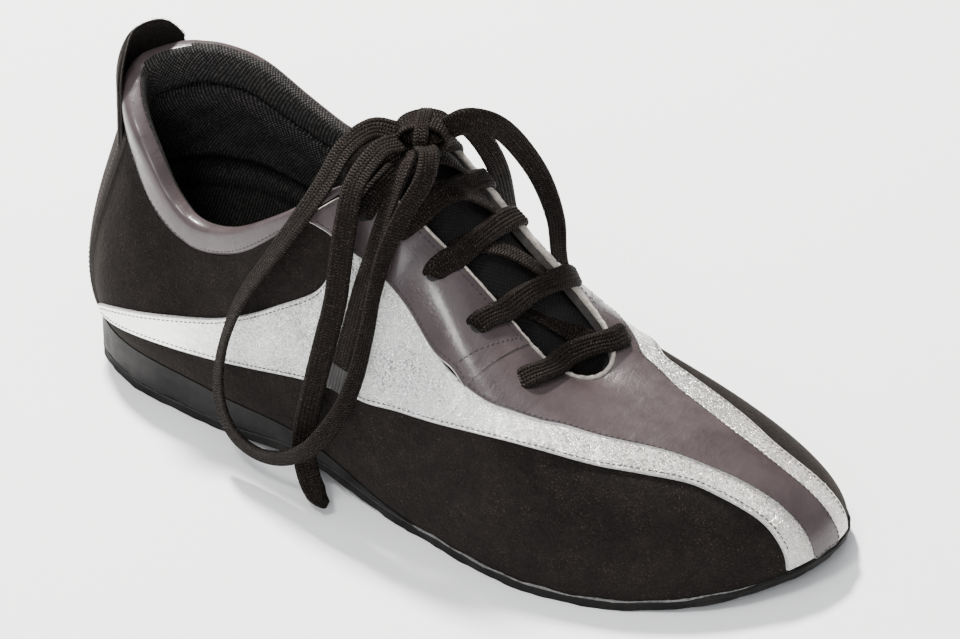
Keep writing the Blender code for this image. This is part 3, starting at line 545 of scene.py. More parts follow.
def lace_material():
    """Flat woven lace: chevrons of thread between the ribs, with pale specks on the raised threads as
    painted highlights.
    """
    shade = Shade("lace", (0.010, 0.008, 0.007), 0.66, Specular_IOR_Level=0.11,
                  Specular_Tint=(1.0, 0.82, 0.72))
    along, across = shade.sheet_place()
    slanted = shade.plus(shade.times(along, 950.0), shade.zigzag(shade.times(across, 540.0)))
    threads = shade.zigzag(slanted)
    raised = shade.spread(threads, 0.05, 0.45)
    uneven = shade.noise(900.0, 2.0, 0.6)
    share = shade.times(raised, shade.spread(uneven, 0.35, 0.7))
    shade.colour(shade.mix(share, (0.0014, 0.0011, 0.0010), (0.0095, 0.0075, 0.0066)))
    # Pale specks on the raised threads are painted highlights of light on the thread.
    painted_highlights = shade.spread(shade.noise(2300.0, 1.0, 0.5), 0.58, 0.70)
    painted_highlights = shade.times(painted_highlights, raised)
    shade.colour(shade.mix(shade.times(painted_highlights, 0.50), shade.last_colour, (0.105, 0.088, 0.078)))
    shade.bump(raised, 0.8, 0.00035)
    shade.bump(uneven, 0.3, 0.0002)
    return shade.material


def grained_material(name, dark, light, roughness, grain, spread, bump):
    """Dark and light patches of one grain: the raw cut edge of leather, or twisted thread."""
    shade = Shade(name, light, roughness)
    fibres = shade.noise(*grain[:3], place=shade.stretched(grain[3]) if len(grain) > 3 else None)
    shade.colour(shade.mix(shade.spread(fibres, *spread), dark, light))
    shade.bump(fibres, *bump)
    return shade.material


def thread_material(name, colour):
    dark = tuple(0.6 * value for value in colour)
    return grained_material(name, dark, colour, 0.6, (2600.0, 1.0, 0.5), (0.3, 0.7), (0.4, 0.0001))


def edge_material(name, dark, light):
    grain = (700.0, 4.0, 0.7, (1.0, 1.0, 2.5))
    return grained_material(name, dark, light, 0.85, grain, (0.3, 0.7), (0.5, 0.0004))


def footbed_material():
    shade = Shade("footbed", (0.015, 0.015, 0.015), 0.88)
    weave = shade.cells(900.0, randomness=0.25)
    shade.colour(shade.mix(shade.spread(weave, 0.1, 0.6), (0.022, 0.021, 0.021), (0.007, 0.007, 0.007)))
    shade.bump(weave, 0.5, 0.0004)
    return shade.material


SUEDE = suede_material("suede", 1.0)
SUEDE_TAB = suede_material("suede_tab", 0.80)
PLUM = plum_material()
SILVER = silver_material()
LINING = mesh_material("lining_mesh", 0.0012, (0.062, 0.057, 0.054))
TONGUE_MESH = mesh_material("tongue_mesh", 0.0014, (0.013, 0.0105, 0.0098))
RUBBER = rubber_material("heel_rubber", (0.0050, 0.0047, 0.0047), (0.0125, 0.0116, 0.0116), 0.55)
SOLE_RUBBER = rubber_material("sole_rubber", (0.004, 0.0037, 0.0035), (0.010, 0.0092, 0.0085), 0.70)
WELT = edge_material("welt_edge", (0.010, 0.010, 0.010), (0.052, 0.050, 0.050))
WELT_PALE = edge_material("welt_pale", (0.030, 0.029, 0.029), (0.200, 0.196, 0.192))
LACE = lace_material()
CREAM_EDGE = edge_material("cream_edge", (0.20, 0.17, 0.145), (0.50, 0.46, 0.42))
GREY_EDGE = edge_material("grey_edge", (0.20, 0.19, 0.19), (0.55, 0.54, 0.53))
SUEDE_EDGE = edge_material("suede_edge", (0.010, 0.009, 0.008), (0.040, 0.034, 0.030))
DARK_THREAD = thread_material("dark_thread", (0.014, 0.012, 0.012))
PALE_THREAD = thread_material("pale_thread", (0.055, 0.050, 0.047))
FOOTBED = footbed_material()
# Near-black discs in the punched holes: painted shade for the inside of each hole.
HOLE_SHADE = edge_material("hole_painted_shade", (0.002, 0.002, 0.002), (0.006, 0.006, 0.006))
AGLET = rubber_material("aglet", (0.020, 0.019, 0.019), (0.038, 0.037, 0.036), 0.45)


# Mesh making

def quads(rows, columns, closed=True, start=0):
    """Faces of a grid of points, row by row; a closed grid's last column meets its first."""
    faces = []
    for row in range(rows - 1):
        for column in range(columns if closed else columns - 1):
            here = start + row * columns + column
            beside = start + row * columns + (column + 1) % columns
            faces.append((here, beside, beside + columns, here + columns))
    return faces


def tube_faces(rings, turns, start=0):
    """Faces of a tube, its two ends last."""
    last = start + (rings - 1) * turns
    return quads(rings, turns, True, start) + [
        tuple(range(start, start + turns)), tuple(range(last, last + turns))]


def ball_faces(rings, turns):
    """Faces of a closed ball: point 0 closes its last ring, point 1 its first, and the rings follow."""
    last = 2 + (rings - 1) * turns
    beside = [(turn + 1) % turns for turn in range(turns)]
    faces = quads(rings, turns, start=2)
    faces += [(1, 2 + beside[turn], 2 + turn) for turn in range(turns)]
    return faces + [(0, last + turn, last + beside[turn]) for turn in range(turns)]


def make_piece(name, points, faces, materials, replaced=(), marks=None, sheet=None, sharp=50.0,
               weld=1e-6):
    """A mesh piece that rides on the shoe: face marks pick its materials, sheet is its UV in metres."""
    mesh = bpy.data.meshes.new(name)
    mesh.from_pydata(np.asarray(points).tolist(), [], faces)
    layer = mesh.uv_layers.new(name="sheet")
    corners = np.empty(len(mesh.loops), dtype=np.int32)
    mesh.loops.foreach_get("vertex_index", corners)
    sheet = np.zeros((len(points), 2)) if sheet is None else sheet
    layer.data.foreach_set("uv", sheet[corners].reshape(-1))
    if marks is not None:
        mesh.polygons.foreach_set("material_index", np.asarray(marks, dtype=np.int32))
    for material in materials:
        mesh.materials.append(material)
    shape = bmesh.new()
    shape.from_mesh(mesh)
    bmesh.ops.remove_doubles(shape, verts=shape.verts, dist=weld)
    bmesh.ops.dissolve_degenerate(shape, dist=weld * 0.5, edges=shape.edges)
    bmesh.ops.recalc_face_normals(shape, faces=shape.faces)
    shape.to_mesh(mesh)
    shape.free()
    mesh.shade_smooth()
    mesh.set_sharp_from_angle(angle=math.radians(sharp))
    piece = bpy.data.objects.new(name, mesh)
    bpy.context.scene.collection.objects.link(piece)
    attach(piece, "root")
    if replaced:
        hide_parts(*replaced)
    return piece


def sheet_piece(name, top, under, materials, row_marks=None, closed=False, replaced=(), sharp=50.0):
    """A closed sheet between two grids of rows x columns points, its rim in the last material."""
    rows, columns = top.shape[:2]
    size = rows * columns
    spans = columns if closed else columns - 1
    faces = []
    for here, beside, beyond, ahead in quads(rows, columns, closed):
        faces += [(here, beside, beyond, ahead), (here + size, ahead + size, beyond + size, beside + size)]
    marks = np.repeat(np.zeros(rows - 1, int) if row_marks is None else row_marks, 2 * spans)
    last = size - columns
    for column in range(spans):
        beside = (column + 1) % columns
        faces.append((column, column + size, beside + size, beside))
        faces.append((last + column, last + beside, last + beside + size, last + column + size))
    if not closed:
        for start in range(0, last, columns):
            for edge in (start, start + columns - 1):
                faces.append((edge, edge + columns, edge + columns + size, edge + size))
    rim = np.full(len(faces) - len(marks), len(materials) - 1)
    sheet = np.stack([run_of(top, 1), run_of(top, 0)], axis=-1).reshape(-1, 2)
    points = np.concatenate([top.reshape(-1, 3), under.reshape(-1, 3)])
    return make_piece(name, points, faces, materials, replaced, np.concatenate([marks, rim]),
                      np.concatenate([sheet, sheet]), sharp)


def swept_piece(name, path, face_way, profile, material, replaced=(), sizes=1.0, sharp=50.0):
    """A closed tube of a flat profile along a path; face_way is where its wide face looks."""
    along = unit(np.gradient(path, axis=0))
    face = square_to(along, face_way)
    wide = np.cross(face, along)
    profile = np.asarray(profile)
    count = len(path)
    scale = np.ones((count, 2)) * sizes
    rings = (path[:, None] + wide[:, None] * (profile[None, :, 0:1] * scale[:, None, 0:1])
             + face[:, None] * (profile[None, :, 1:2] * scale[:, None, 1:2]))
    turns = len(profile)
    sheet = np.stack([np.repeat(run_of(path, 0), turns), np.tile(profile[:, 0], count)], axis=1)
    return make_piece(name, rings.reshape(-1, 3), tube_faces(count, turns), [material], replaced,
                      sheet=sheet, sharp=sharp)


# Camera, floor and light

FLOOR_COLOUR = (0.94, 0.945, 0.95)
FLOOR_HALF = 4.0
SKY_COLOUR = (0.95, 0.975, 1.0)
LIGHT_AIM = (0.10, 0.0, 0.04)
# Name, place, size, watts and colour
LIGHTS = (
    ("key", (-0.80, 0.55, 1.60), 0.24, 126.0, (1.0, 0.975, 0.94)),
    ("glint", (0.03, -0.72, 1.35), 0.30, 11.0, (1.0, 0.99, 0.97)),
    ("fill", (0.7, -1.6, 1.1), 0.7, 12.0, (0.95, 0.97, 1.0)),
    ("top", (0.1, 0.1, 2.0), 1.4, 10.0, (1.0, 1.0, 1.0)),
)


def make_camera():
    place = np.array(CAMERA_PLACE)
    ahead = unit(np.array(PHOTO_AIM) - place)
    right = unit(np.cross(ahead, (0.0, 0.0, 1.0)))
    up = np.cross(right, ahead)
    across = (SHOE_MIDDLE[0] - PHOTO_SIZE[0] / 2.0) / PHOTO_FOCUS
    down = (SHOE_MIDDLE[1] - PHOTO_SIZE[1] / 2.0) / PHOTO_FOCUS
    aim = unit(ahead + right * across - up * down)
    data = bpy.data.cameras.new("photo_camera")
    data.sensor_width = SENSOR
    data.lens = PHOTO_FOCUS / PHOTO_SIZE[0] * SENSOR * ZOOM
    data.clip_start = 0.05
    data.clip_end = 20.0
    camera = bpy.data.objects.new("photo_camera", data)
    camera.location = place
    camera.rotation_euler = Vector(aim).to_track_quat("-Z", "Y").to_euler()
    bpy.context.scene.collection.objects.link(camera)
    bpy.context.scene.camera = camera


def make_stage():
    mesh = bpy.data.meshes.new("floor")
    shape = bmesh.new()
    bmesh.ops.create_grid(shape, x_segments=1, y_segments=1, size=FLOOR_HALF)
    shape.to_mesh(mesh)
    shape.free()
    floor = bpy.data.objects.new("floor", mesh)
    shade = Shade("floor_paper", FLOOR_COLOUR, 0.9)
    shade.bump(shade.noise(500.0, 2.0, 0.5), 0.05, 0.0002)
    mesh.materials.append(shade.material)
    bpy.context.scene.collection.objects.link(floor)
    world = bpy.data.worlds.new("studio")
    bpy.context.scene.world = world
    world.use_nodes = True
    nodes, links = world.node_tree.nodes, world.node_tree.links
    background = nodes["Background"]
    split = nodes.new("ShaderNodeSeparateXYZ")
    links.new(nodes.new("ShaderNodeTexCoord").outputs["Generated"], split.inputs["Vector"])
    fall = nodes.new("ShaderNodeMapRange")
    links.new(split.outputs["Y"], fall.inputs["Value"])
    for socket, number in (("From Min", -0.6), ("From Max", 0.9), ("To Min", 0.84), ("To Max", 0.24)):
        fall.inputs[socket].default_value = number
    background.inputs["Color"].default_value = (*SKY_COLOUR, 1.0)
    links.new(fall.outputs["Result"], background.inputs["Strength"])
    for name, place, size, power, colour in LIGHTS:
        data = bpy.data.lights.new(name, "AREA")
        data.shape = "DISK"
        data.size = size
        data.energy = power
        data.color = colour
        light = bpy.data.objects.new(name, data)
        light.location = place
        aim = Vector(LIGHT_AIM) - Vector(place)
        light.rotation_euler = aim.to_track_quat("-Z", "Y").to_euler()
        bpy.context.scene.collection.objects.link(light)


make_camera()
make_stage()


# Laces

LACE_WIDTH = 0.0080
LACE_THICKNESS = 0.0020
LACE_RIBS = 5
RIB_STEPS = 5
# Direction from the shoe to the camera
VIEW_BACK = (0.472, -0.678, 0.562)
BOW_STEP = 0.0016
TIP_GATHER = 0.006


def lace_profile(width, thickness):
    """Outline of a flat woven lace: rounded edges and ribs along both faces."""
    points = []
    flat = width - thickness * 0.7
    for side in (1.0, -1.0):
        for share in np.linspace(0.0, 1.0, LACE_RIBS * RIB_STEPS + 1):
            rib = abs(math.sin(math.pi * LACE_RIBS * share))
            points.append(((share - 0.5) * side * flat, side * (thickness / 2.0) * (0.76 + 0.24 * rib)))
        for angle in (60.0, 30.0, 0.0, -30.0, -60.0):
            turn = math.radians(angle)
            points.append((side * (flat / 2.0 + math.cos(turn) * thickness * 0.36),
                           side * math.sin(turn) * thickness * 0.38))
    return points


FLAT = lace_profile(LACE_WIDTH, LACE_THICKNESS)

# Lace bars: outer hole, its height, outer edge, inner edge, inner hole, its height
BARS = (
    (7.83, 0.740, 9.00, 8.80, 8.65, 0.900),
    (7.18, 0.795, 7.73, 7.52, 7.40, 0.890),
    (6.40, 0.850, 6.67, 6.35, 6.20, 0.890),
    (5.62, 0.890, 5.85, 5.80, 5.66, 0.890),
    (5.05, 0.900, 5.20, 5.25, 5.15, 0.890),
)

# Centre lines of the bow's cords, from the knot outward
BOW = {
    "lace_loop_outer": (
        (0.0896, -0.0024, 0.1209), (0.0828, -0.0064, 0.1217), (0.0790, -0.0160, 0.1180),
        (0.0775, -0.0255, 0.1090), (0.0735, -0.0325, 0.0985), (0.0650, -0.0372, 0.0825),
        (0.0550, -0.0410, 0.0645), (0.0495, -0.0440, 0.0485), (0.0485, -0.0480, 0.0340),
        (0.0515, -0.0510, 0.0225), (0.0590, -0.0535, 0.0150), (0.0705, -0.0550, 0.0130),
        (0.0830, -0.0560, 0.0175), (0.0940, -0.0555, 0.0270), (0.1020, -0.0520, 0.0410),
        (0.1060, -0.0485, 0.0545), (0.1070, -0.0435, 0.0690), (0.1070, -0.0385, 0.0835),
        (0.1075, -0.0325, 0.0970), (0.1095, -0.0255, 0.1085), (0.1115, -0.0175, 0.1175),
        (0.1084, -0.0098, 0.1223), (0.1028, -0.0042, 0.1211),
    ),
    "lace_loop_inner": (
        (0.1044, 0.0067, 0.1234), (0.1103, 0.0090, 0.1277), (0.1165, 0.0155, 0.1245),
        (0.1205, 0.0230, 0.1145), (0.1240, 0.0315, 0.0980), (0.1255, 0.0380, 0.0790),
        (0.1245, 0.0425, 0.0590), (0.1270, 0.0475, 0.0400), (0.1200, 0.0505, 0.0290),
        (0.1110, 0.0500, 0.0270), (0.1045, 0.0470, 0.0350), (0.1035, 0.0435, 0.0500),
        (0.1065, 0.0390, 0.0660), (0.1085, 0.0335, 0.0820), (0.1090, 0.0285, 0.0970),
        (0.1065, 0.0240, 0.1090), (0.1027, 0.0193, 0.1174), (0.0999, 0.0122, 0.1194),
    ),
    "lace_end_long": (
        (0.0942, -0.0064, 0.1205), (0.0914, -0.0138, 0.1205), (0.0895, -0.0245, 0.1130),
        (0.0905, -0.0315, 0.1015), (0.0915, -0.0360, 0.0890), (0.0920, -0.0400, 0.0750),
        (0.0905, -0.0440, 0.0600), (0.0885, -0.0475, 0.0440), (0.0860, -0.0490, 0.0295),
        (0.0855, -0.0500, 0.0185), (0.0895, -0.0525, 0.0100), (0.0945, -0.0545, 0.0060),
        (0.0990, -0.0565, 0.0055),
    ),
    "lace_end_short": (
        (0.0987, -0.0064, 0.1187), (0.1003, -0.0135, 0.1156), (0.1005, -0.0205, 0.1075),
        (0.1005, -0.0260, 0.0998), (0.1010, -0.0315, 0.0920), (0.1010, -0.0375, 0.0820),
        (0.1005, -0.0420, 0.0705), (0.0995, -0.0460, 0.0580), (0.0985, -0.0485, 0.0485),
    ),
}

# How each cord's wide face turns along it: shares of its length, degrees from facing the camera
TURNS = {
    "lace_loop_outer": ((0.0, 0.15, 0.35, 0.5, 0.62, 0.8, 1.0), (20.0, 40.0, 72.0, 60.0, 40.0, 62.0, 30.0)),
    "lace_loop_inner": ((0.0, 0.2, 0.5, 0.8, 1.0), (10.0, 30.0, 70.0, 40.0, 10.0)),
    "lace_end_long": ((0.0, 0.3, 0.8, 1.0), (35.0, 12.0, 0.0, 25.0)),
    "lace_end_short": ((0.0, 0.4, 1.0), (60.0, 50.0, 35.0)),
}


def make_bow():
    for name, route in BOW.items():
        path, marks, _ = even(smooth_rows(route, 40 * len(route)), BOW_STEP)
        face = turned(path, VIEW_BACK, *TURNS[name])
        sizes = np.ones((len(path), 2))
        if name == "lace_end_long":
            tip = np.clip((marks[-1] - marks) / TIP_GATHER, 0.0, 1.0)
            sizes[:, 0] = 0.45 + 0.55 * tip
            sizes[:, 1] = 1.5 - 0.5 * tip
        piece = swept_piece(name.replace("lace", "bow"), path, face, FLAT, LACE, (name,), sizes)


# The upper's leather

UPPER_TOP = 0.0005
UPPER_WALL = 0.0020
OVERLAY_BASE = 0.0002
SILVER_TOP = 0.0016
COUNTER_TOP = SILVER_TOP + 0.0003
PLUM_TOP = 0.0021
FACING_TOP = PLUM_TOP + 0.0004
EDGE_STEPS = (0.0, 0.0, 0.00016, 0.00046, 0.00100)
EDGE_LIFTS = (0.0, 0.60, 0.86, 0.97, 1.0)


def overlay_edges(rows, samples, inner_side=False, high_lap=0.0, lap_from=0.0):
    """Low and high edge of an overlay; past a share of its length the high edge laps under the next."""
    edges = smooth_rows(rows, samples)
    if inner_side:
        edges[:, (0, 2)] = STATIONS - edges[:, (0, 2)]
    low, high = edges[:, :2], edges[:, 2:]
    width = overlay_width(low, high)
    ease = np.clip((np.linspace(0.0, 1.0, samples) - lap_from) / 0.06, 0.0, 1.0)
    reach = np.clip(width / 0.004, 0.0, 1.0) * ease / np.maximum(width, 1e-4)
    grown = high + (high - low) * (reach * high_lap)[:, None]
    grown[:, 1] = np.minimum(grown[:, 1], 0.999)
    return low, grown


def overlay_width(low, high):
    share = np.linspace(0.0, 1.0, 9)[:, None]
    line = smooth_point(low[:, 0] * (1.0 - share) + high[:, 0] * share,
                        low[:, 1] * (1.0 - share) + high[:, 1] * share)
    return np.linalg.norm(np.diff(line, axis=0), axis=-1).sum(axis=0)


def overlay_piece(name, edges, crossings, top, materials, replaced):
    """A leather piece on the upper with rounded cut edges: its face, low edge and high edge looks."""
    low, high = edges
    width = overlay_width(low, high)
    near = np.minimum(np.array(EDGE_STEPS)[:, None] / np.maximum(width, 1e-5), 0.3)
    middle = np.linspace(0.0, 1.0, crossings + 2)[1:-1, None]
    middle = near[-1] + (1.0 - 2.0 * near[-1]) * middle
    share = np.concatenate([near, middle, 1.0 - near[::-1]])
    lift = np.concatenate([EDGE_LIFTS, np.ones(crossings), EDGE_LIFTS[::-1]])[:, None]
    station = low[:, 0] * (1.0 - share) + high[:, 0] * share
    height = low[:, 1] * (1.0 - share) + high[:, 1] * share
    thickness = (top - OVERLAY_BASE) * np.clip(width / 0.002, 0.3, 1.0)
    face = skin(station, height, OVERLAY_BASE + thickness * lift)
    under = skin(station, height, np.full_like(station, OVERLAY_BASE))
    spans = len(share) - 1
    row_marks = [1, 1, 1] + [0] * (spans - 6) + [2, 2, 2]
    sheet_piece(name, face, under, materials, row_marks, replaced=replaced, sharp=70.0)


# The facings' front ends lap a little over the vamp
EYESTAY_END_OUTER = (7.04, 0.606, 8.34, 0.995)
EYESTAY_END_INNER = (7.18, 0.682, 8.24, 0.995)

SILVER_LAP = 0.0090
EDGES = {
    "silver_outer": overlay_edges(SILVER_OUTER, 321, high_lap=SILVER_LAP, lap_from=0.33),
    "silver_inner": overlay_edges(SILVER_INNER, 321, True, high_lap=SILVER_LAP, lap_from=0.30),
    "eyestay_outer": overlay_edges(EYESTAY_OUTER + (EYESTAY_END_OUTER,), 161),
    "eyestay_inner": overlay_edges(EYESTAY_INNER + (EYESTAY_END_INNER,), 161, True),
    "vamp": overlay_edges(VAMP_STRIP, 361),
    "counter": overlay_edges(COUNTER, 81),
}

SILVER_SLOT = "silver_leather"
SILVER_LOOKS = [SILVER, GREY_EDGE, GREY_EDGE]
PLUM_LOOKS = [PLUM, GREY_EDGE, CREAM_EDGE]
SUEDE_LOOKS = [SUEDE, SUEDE_EDGE, SUEDE_EDGE]
# Leather on the suede: piece, node, edges, points across, top, looks and slot
LEATHER = (
    ("silver_side_outer", "silver_panel_outer", "silver_outer", 26, SILVER_TOP, SILVER_LOOKS, SILVER_SLOT),
    ("silver_side_inner", "silver_panel_inner", "silver_inner", 26, SILVER_TOP, SILVER_LOOKS, SILVER_SLOT),
    ("plum_facing_outer", "eyestay_outer", "eyestay_outer", 30, FACING_TOP, PLUM_LOOKS, "plum_leather"),
    ("plum_facing_inner", "eyestay_inner", "eyestay_inner", 30, FACING_TOP, PLUM_LOOKS, "plum_leather"),
    ("plum_vamp", "vamp_strip", "vamp", 44, PLUM_TOP, PLUM_LOOKS, "plum_leather"),
    ("suede_counter", "heel_counter", "counter", 60, COUNTER_TOP, SUEDE_LOOKS, "black_suede"),
)


def make_upper():
    stations = np.linspace(0.0, STATIONS, 321)[:-1]
    across, up = np.meshgrid(stations, np.linspace(0.0, 1.0, 49))
    outer = skin(across, up, np.full_like(across, UPPER_TOP))
    inner = skin(across, up, np.full_like(across, -UPPER_WALL))
    sheet_piece("suede_upper", outer, inner, [SUEDE, SUEDE_EDGE], closed=True,
                replaced=("upper",))
    for name, node, edges, crossings, top, looks, slot in LEATHER:
        overlay_piece(name, EDGES[edges], crossings, top, looks, (node,))


# Lining, collar and tab

# Collar: station, share of the pad's width and share of its height
COLLAR = (
    (0.0, 1.00, 1.00), (1.0, 1.00, 0.95), (2.0, 0.85, 0.80), (3.0, 0.70, 0.62), (3.7, 0.60, 0.48),
    (4.3, 0.42, 0.28), (4.8, 0.33, 0.20),
)
COLLAR_PAD = 0.009
# Shares of the roll's turn: where the mesh starts on the inner and the outer side, and where it ends
COLLAR_TURN = (0.235, 0.31, 0.86)
COLLAR_SHOULDER = 0.62
COLLAR_LIFT = 0.016
COLLAR_OUT = 0.0011
COLLAR_SINK = 0.0004
TAB_LIFT = 0.027
TAB_THICKNESS = 0.0018
TAB_LEAN = 0.004
TAB_HALF_SPAN = 0.90
TAB_GAP = 0.0019
TAB_ROOT = 0.0040
TAB_WAVE = 0.0006
# The lining's seam: its height at stations before and past the heel's back
LINING_END = 6.4
LINING_SEAM = ((0.0, 1.5, 3.0, 4.2, 5.2, LINING_END), (0.46, 0.50, 0.60, 0.74, 0.90, 0.93))
SEAM_ABOVE = 0.10
SEAM_BELOW = 0.14
SEAM_PUFF = 0.0012
ANKLE_PAD = 0.0042
PAD_LUMPS = 0.0003
LINING_LAYER = 0.0007


def make_lining():
    """Mesh lining: thick padding above a stitched seam that drops from each ear to the heel."""
    stations = np.linspace(-LINING_END, LINING_END, 261)
    across, up = np.meshgrid(stations, np.linspace(0.02, 0.992, 79))
    seam = np.interp(np.abs(stations), *LINING_SEAM)[None]
    above = np.clip((up - seam) / SEAM_ABOVE, 0.0, 1.0)
    above = above * above * (3.0 - 2.0 * above)
    below = np.clip((seam - up) / SEAM_BELOW, 0.0, 1.0)
    fade = np.clip((6.2 - np.abs(across)) / 1.6, 0.0, 1.0)
    near_top = np.clip((1.0 - up) / 0.10, 0.0, 1.0) ** 0.5
    puff = ANKLE_PAD * above * fade * (0.35 + 0.65 * near_top) + SEAM_PUFF * np.sin(np.pi * below) * fade
    lumps = PAD_LUMPS * np.sin(across * 9.0 + 3.0 * up) * np.sin(up * 34.0 + across) * above
    depth = UPPER_WALL + LINING_LAYER + puff + lumps
    face = skin(across, up, -depth)
    back = skin(across, up, np.full_like(across, -UPPER_WALL - 0.0001))
    sheet_piece("mesh_lining", face, back, [LINING])


def top_frame(station):
    point = ring_value(TOP, station)
    way = unit(ring_value(TOP, station + 0.02) - ring_value(TOP, station - 0.02))
    away = square_to(way, outward(station))
    up = np.cross(way, away)
    return point, away, up * np.sign(up[..., 2:3])


def make_collar():
    """The padded leather roll on the upper's edge, with the pulls and dents of a worn collar."""
    half = smooth_rows(COLLAR, 141)
    sizes = np.vstack([half[:0:-1] * (-1.0, 1.0, 1.0), half])
    station = sizes[:, 0]
    point, away, up = top_frame(station)
    pad = sizes[:, 1] * COLLAR_PAD
    lift = sizes[:, 2] * COLLAR_LIFT
    end = np.clip((COLLAR[-1][0] - np.abs(station)) / 0.25, 0.0, 1.0)
    rings = []
    for angle in circle(36):
        wide = abs(math.cos(angle)) ** COLLAR_SHOULDER * math.copysign(0.5, math.cos(angle))
        tall = abs(math.sin(angle)) ** COLLAR_SHOULDER * math.copysign(0.5, math.sin(angle))
        dent = 1.0 - 0.045 * np.sin(station * 5.3 + 0.7) * np.sin(station * 2.1 + angle)
        dent -= (0.030 * np.exp(-((station - 2.4) / 0.10) ** 2)
                 + 0.040 * np.exp(-((station + 1.2) / 0.12) ** 2))
        rings.append(point + away * (pad * (wide * dent - 0.5) + COLLAR_OUT)[:, None]
                     + up * (lift * (tall * dent + 0.5) - COLLAR_SINK)[:, None])
    rings = np.swapaxes(np.array(rings), 0, 1)
    places, turns = rings.shape[:2]
    middle = rings.mean(axis=1, keepdims=True)
    rings = middle + (rings - middle) * (0.35 + 0.65 * end ** 0.5)[:, None, None]
    mesh_from = np.interp(station[:-1], (-2.0, 0.5), COLLAR_TURN[:2])[:, None]
    share = (np.arange(turns) + 0.5) / turns
    marks = np.append((mesh_from < share) & (share < COLLAR_TURN[2]), (False, False))
    sheet = np.stack([run_of(rings, 0), run_of(rings, 1)], axis=-1).reshape(-1, 2)
    roll = make_piece("collar_roll", rings.reshape(-1, 3), tube_faces(places, turns), [PLUM, LINING],
                      ("collar",), marks, sheet)


def make_tab():
    """The suede pull tab behind the collar: two layers, round at the top, with a soft cut edge."""
    across = np.sin(np.linspace(-0.5 * math.pi, 0.5 * math.pi, 61))
    up = np.linspace(0.0, 1.0, 41)[:, None]
    point = ring_value(TOP, across * TAB_HALF_SPAN)
    away = outward(across * TAB_HALF_SPAN)
    crown = 1.0 - 0.45 * np.abs(across) ** 3.5
    height = up * TAB_LIFT * crown
    lean = TAB_LEAN * np.clip((height - COLLAR_LIFT) / (TAB_LIFT - COLLAR_LIFT), 0.0, 1.0) ** 2
    edge = np.minimum(np.minimum(1.0, (1.0 - np.abs(across)) / 0.06)[None], (1.0 - up) / 0.06)
    half = 0.5 * TAB_THICKNESS * np.sqrt(np.clip(edge * (2.0 - edge), 0.05, 1.0))
    wave = TAB_WAVE * np.sin(across * 4.0 + 1.0)[None] * up
    grids = []
    for side in (1.0, -1.0):
        offset = TAB_GAP + 0.5 * TAB_THICKNESS + side * half - lean + wave
        grid = point[None] + away[None] * offset[..., None]
        grid[..., 2] += height - TAB_ROOT * (1.0 - up)
        grids.append(grid)
    sheet_piece("suede_tab_loop", grids[0], grids[1], [SUEDE_TAB, SUEDE_EDGE],
                replaced=("heel_tab",), sharp=80.0)
    middle = 0.5 * (grids[0] + grids[1])
    rim = np.concatenate([middle[8:, 0], middle[-1, 1:-1], middle[8:, -1][::-1]])
    centre = middle[12, 30]
    make_fuzz("tab_fuzz", rim, unit(rim - centre), 420, 0.0012, SUEDE_EDGE, 3)
    base = middle[0, 1:8]
    make_fuzz("tab_frayed_threads", base, unit(base - centre), 26, 0.0050, SUEDE_EDGE, 4)


# Tongue

TONGUE_STATIONS = (9.75, 9.3, 8.6, 7.8, 7.0, 6.2, 5.6, 5.0)
# Rise of the tongue's free end, as shares of its reach
TONGUE_TOP = ((0.0, 0.4, 0.75, 1.0), (0.0, 0.40, 0.80, 1.00))
TONGUE_REACH = 0.014
TONGUE_NEAR = 0.0026
TONGUE_PAD = 0.0040
TONGUE_RIDGE = 0.0004


def bridge(outer_station, inner_station, share):
    """Point over the throat between a station of the outer facing and one of the inner facing."""
    _, _, outer_high, outer_head = section_frame(np.array(outer_station))
    _, _, inner_high, inner_head = section_frame(np.array(inner_station))
    span = np.linalg.norm(inner_head - outer_head, axis=-1, keepdims=True)
    leave = unit(outer_head - outer_high) * span
    arrive = unit(inner_high - inner_head) * span
    t = share
    return ((2 * t ** 3 - 3 * t ** 2 + 1) * outer_head + (t ** 3 - 2 * t ** 2 + t) * leave
            + (3 * t ** 2 - 2 * t ** 3) * inner_head + (t ** 3 - t ** 2) * arrive)


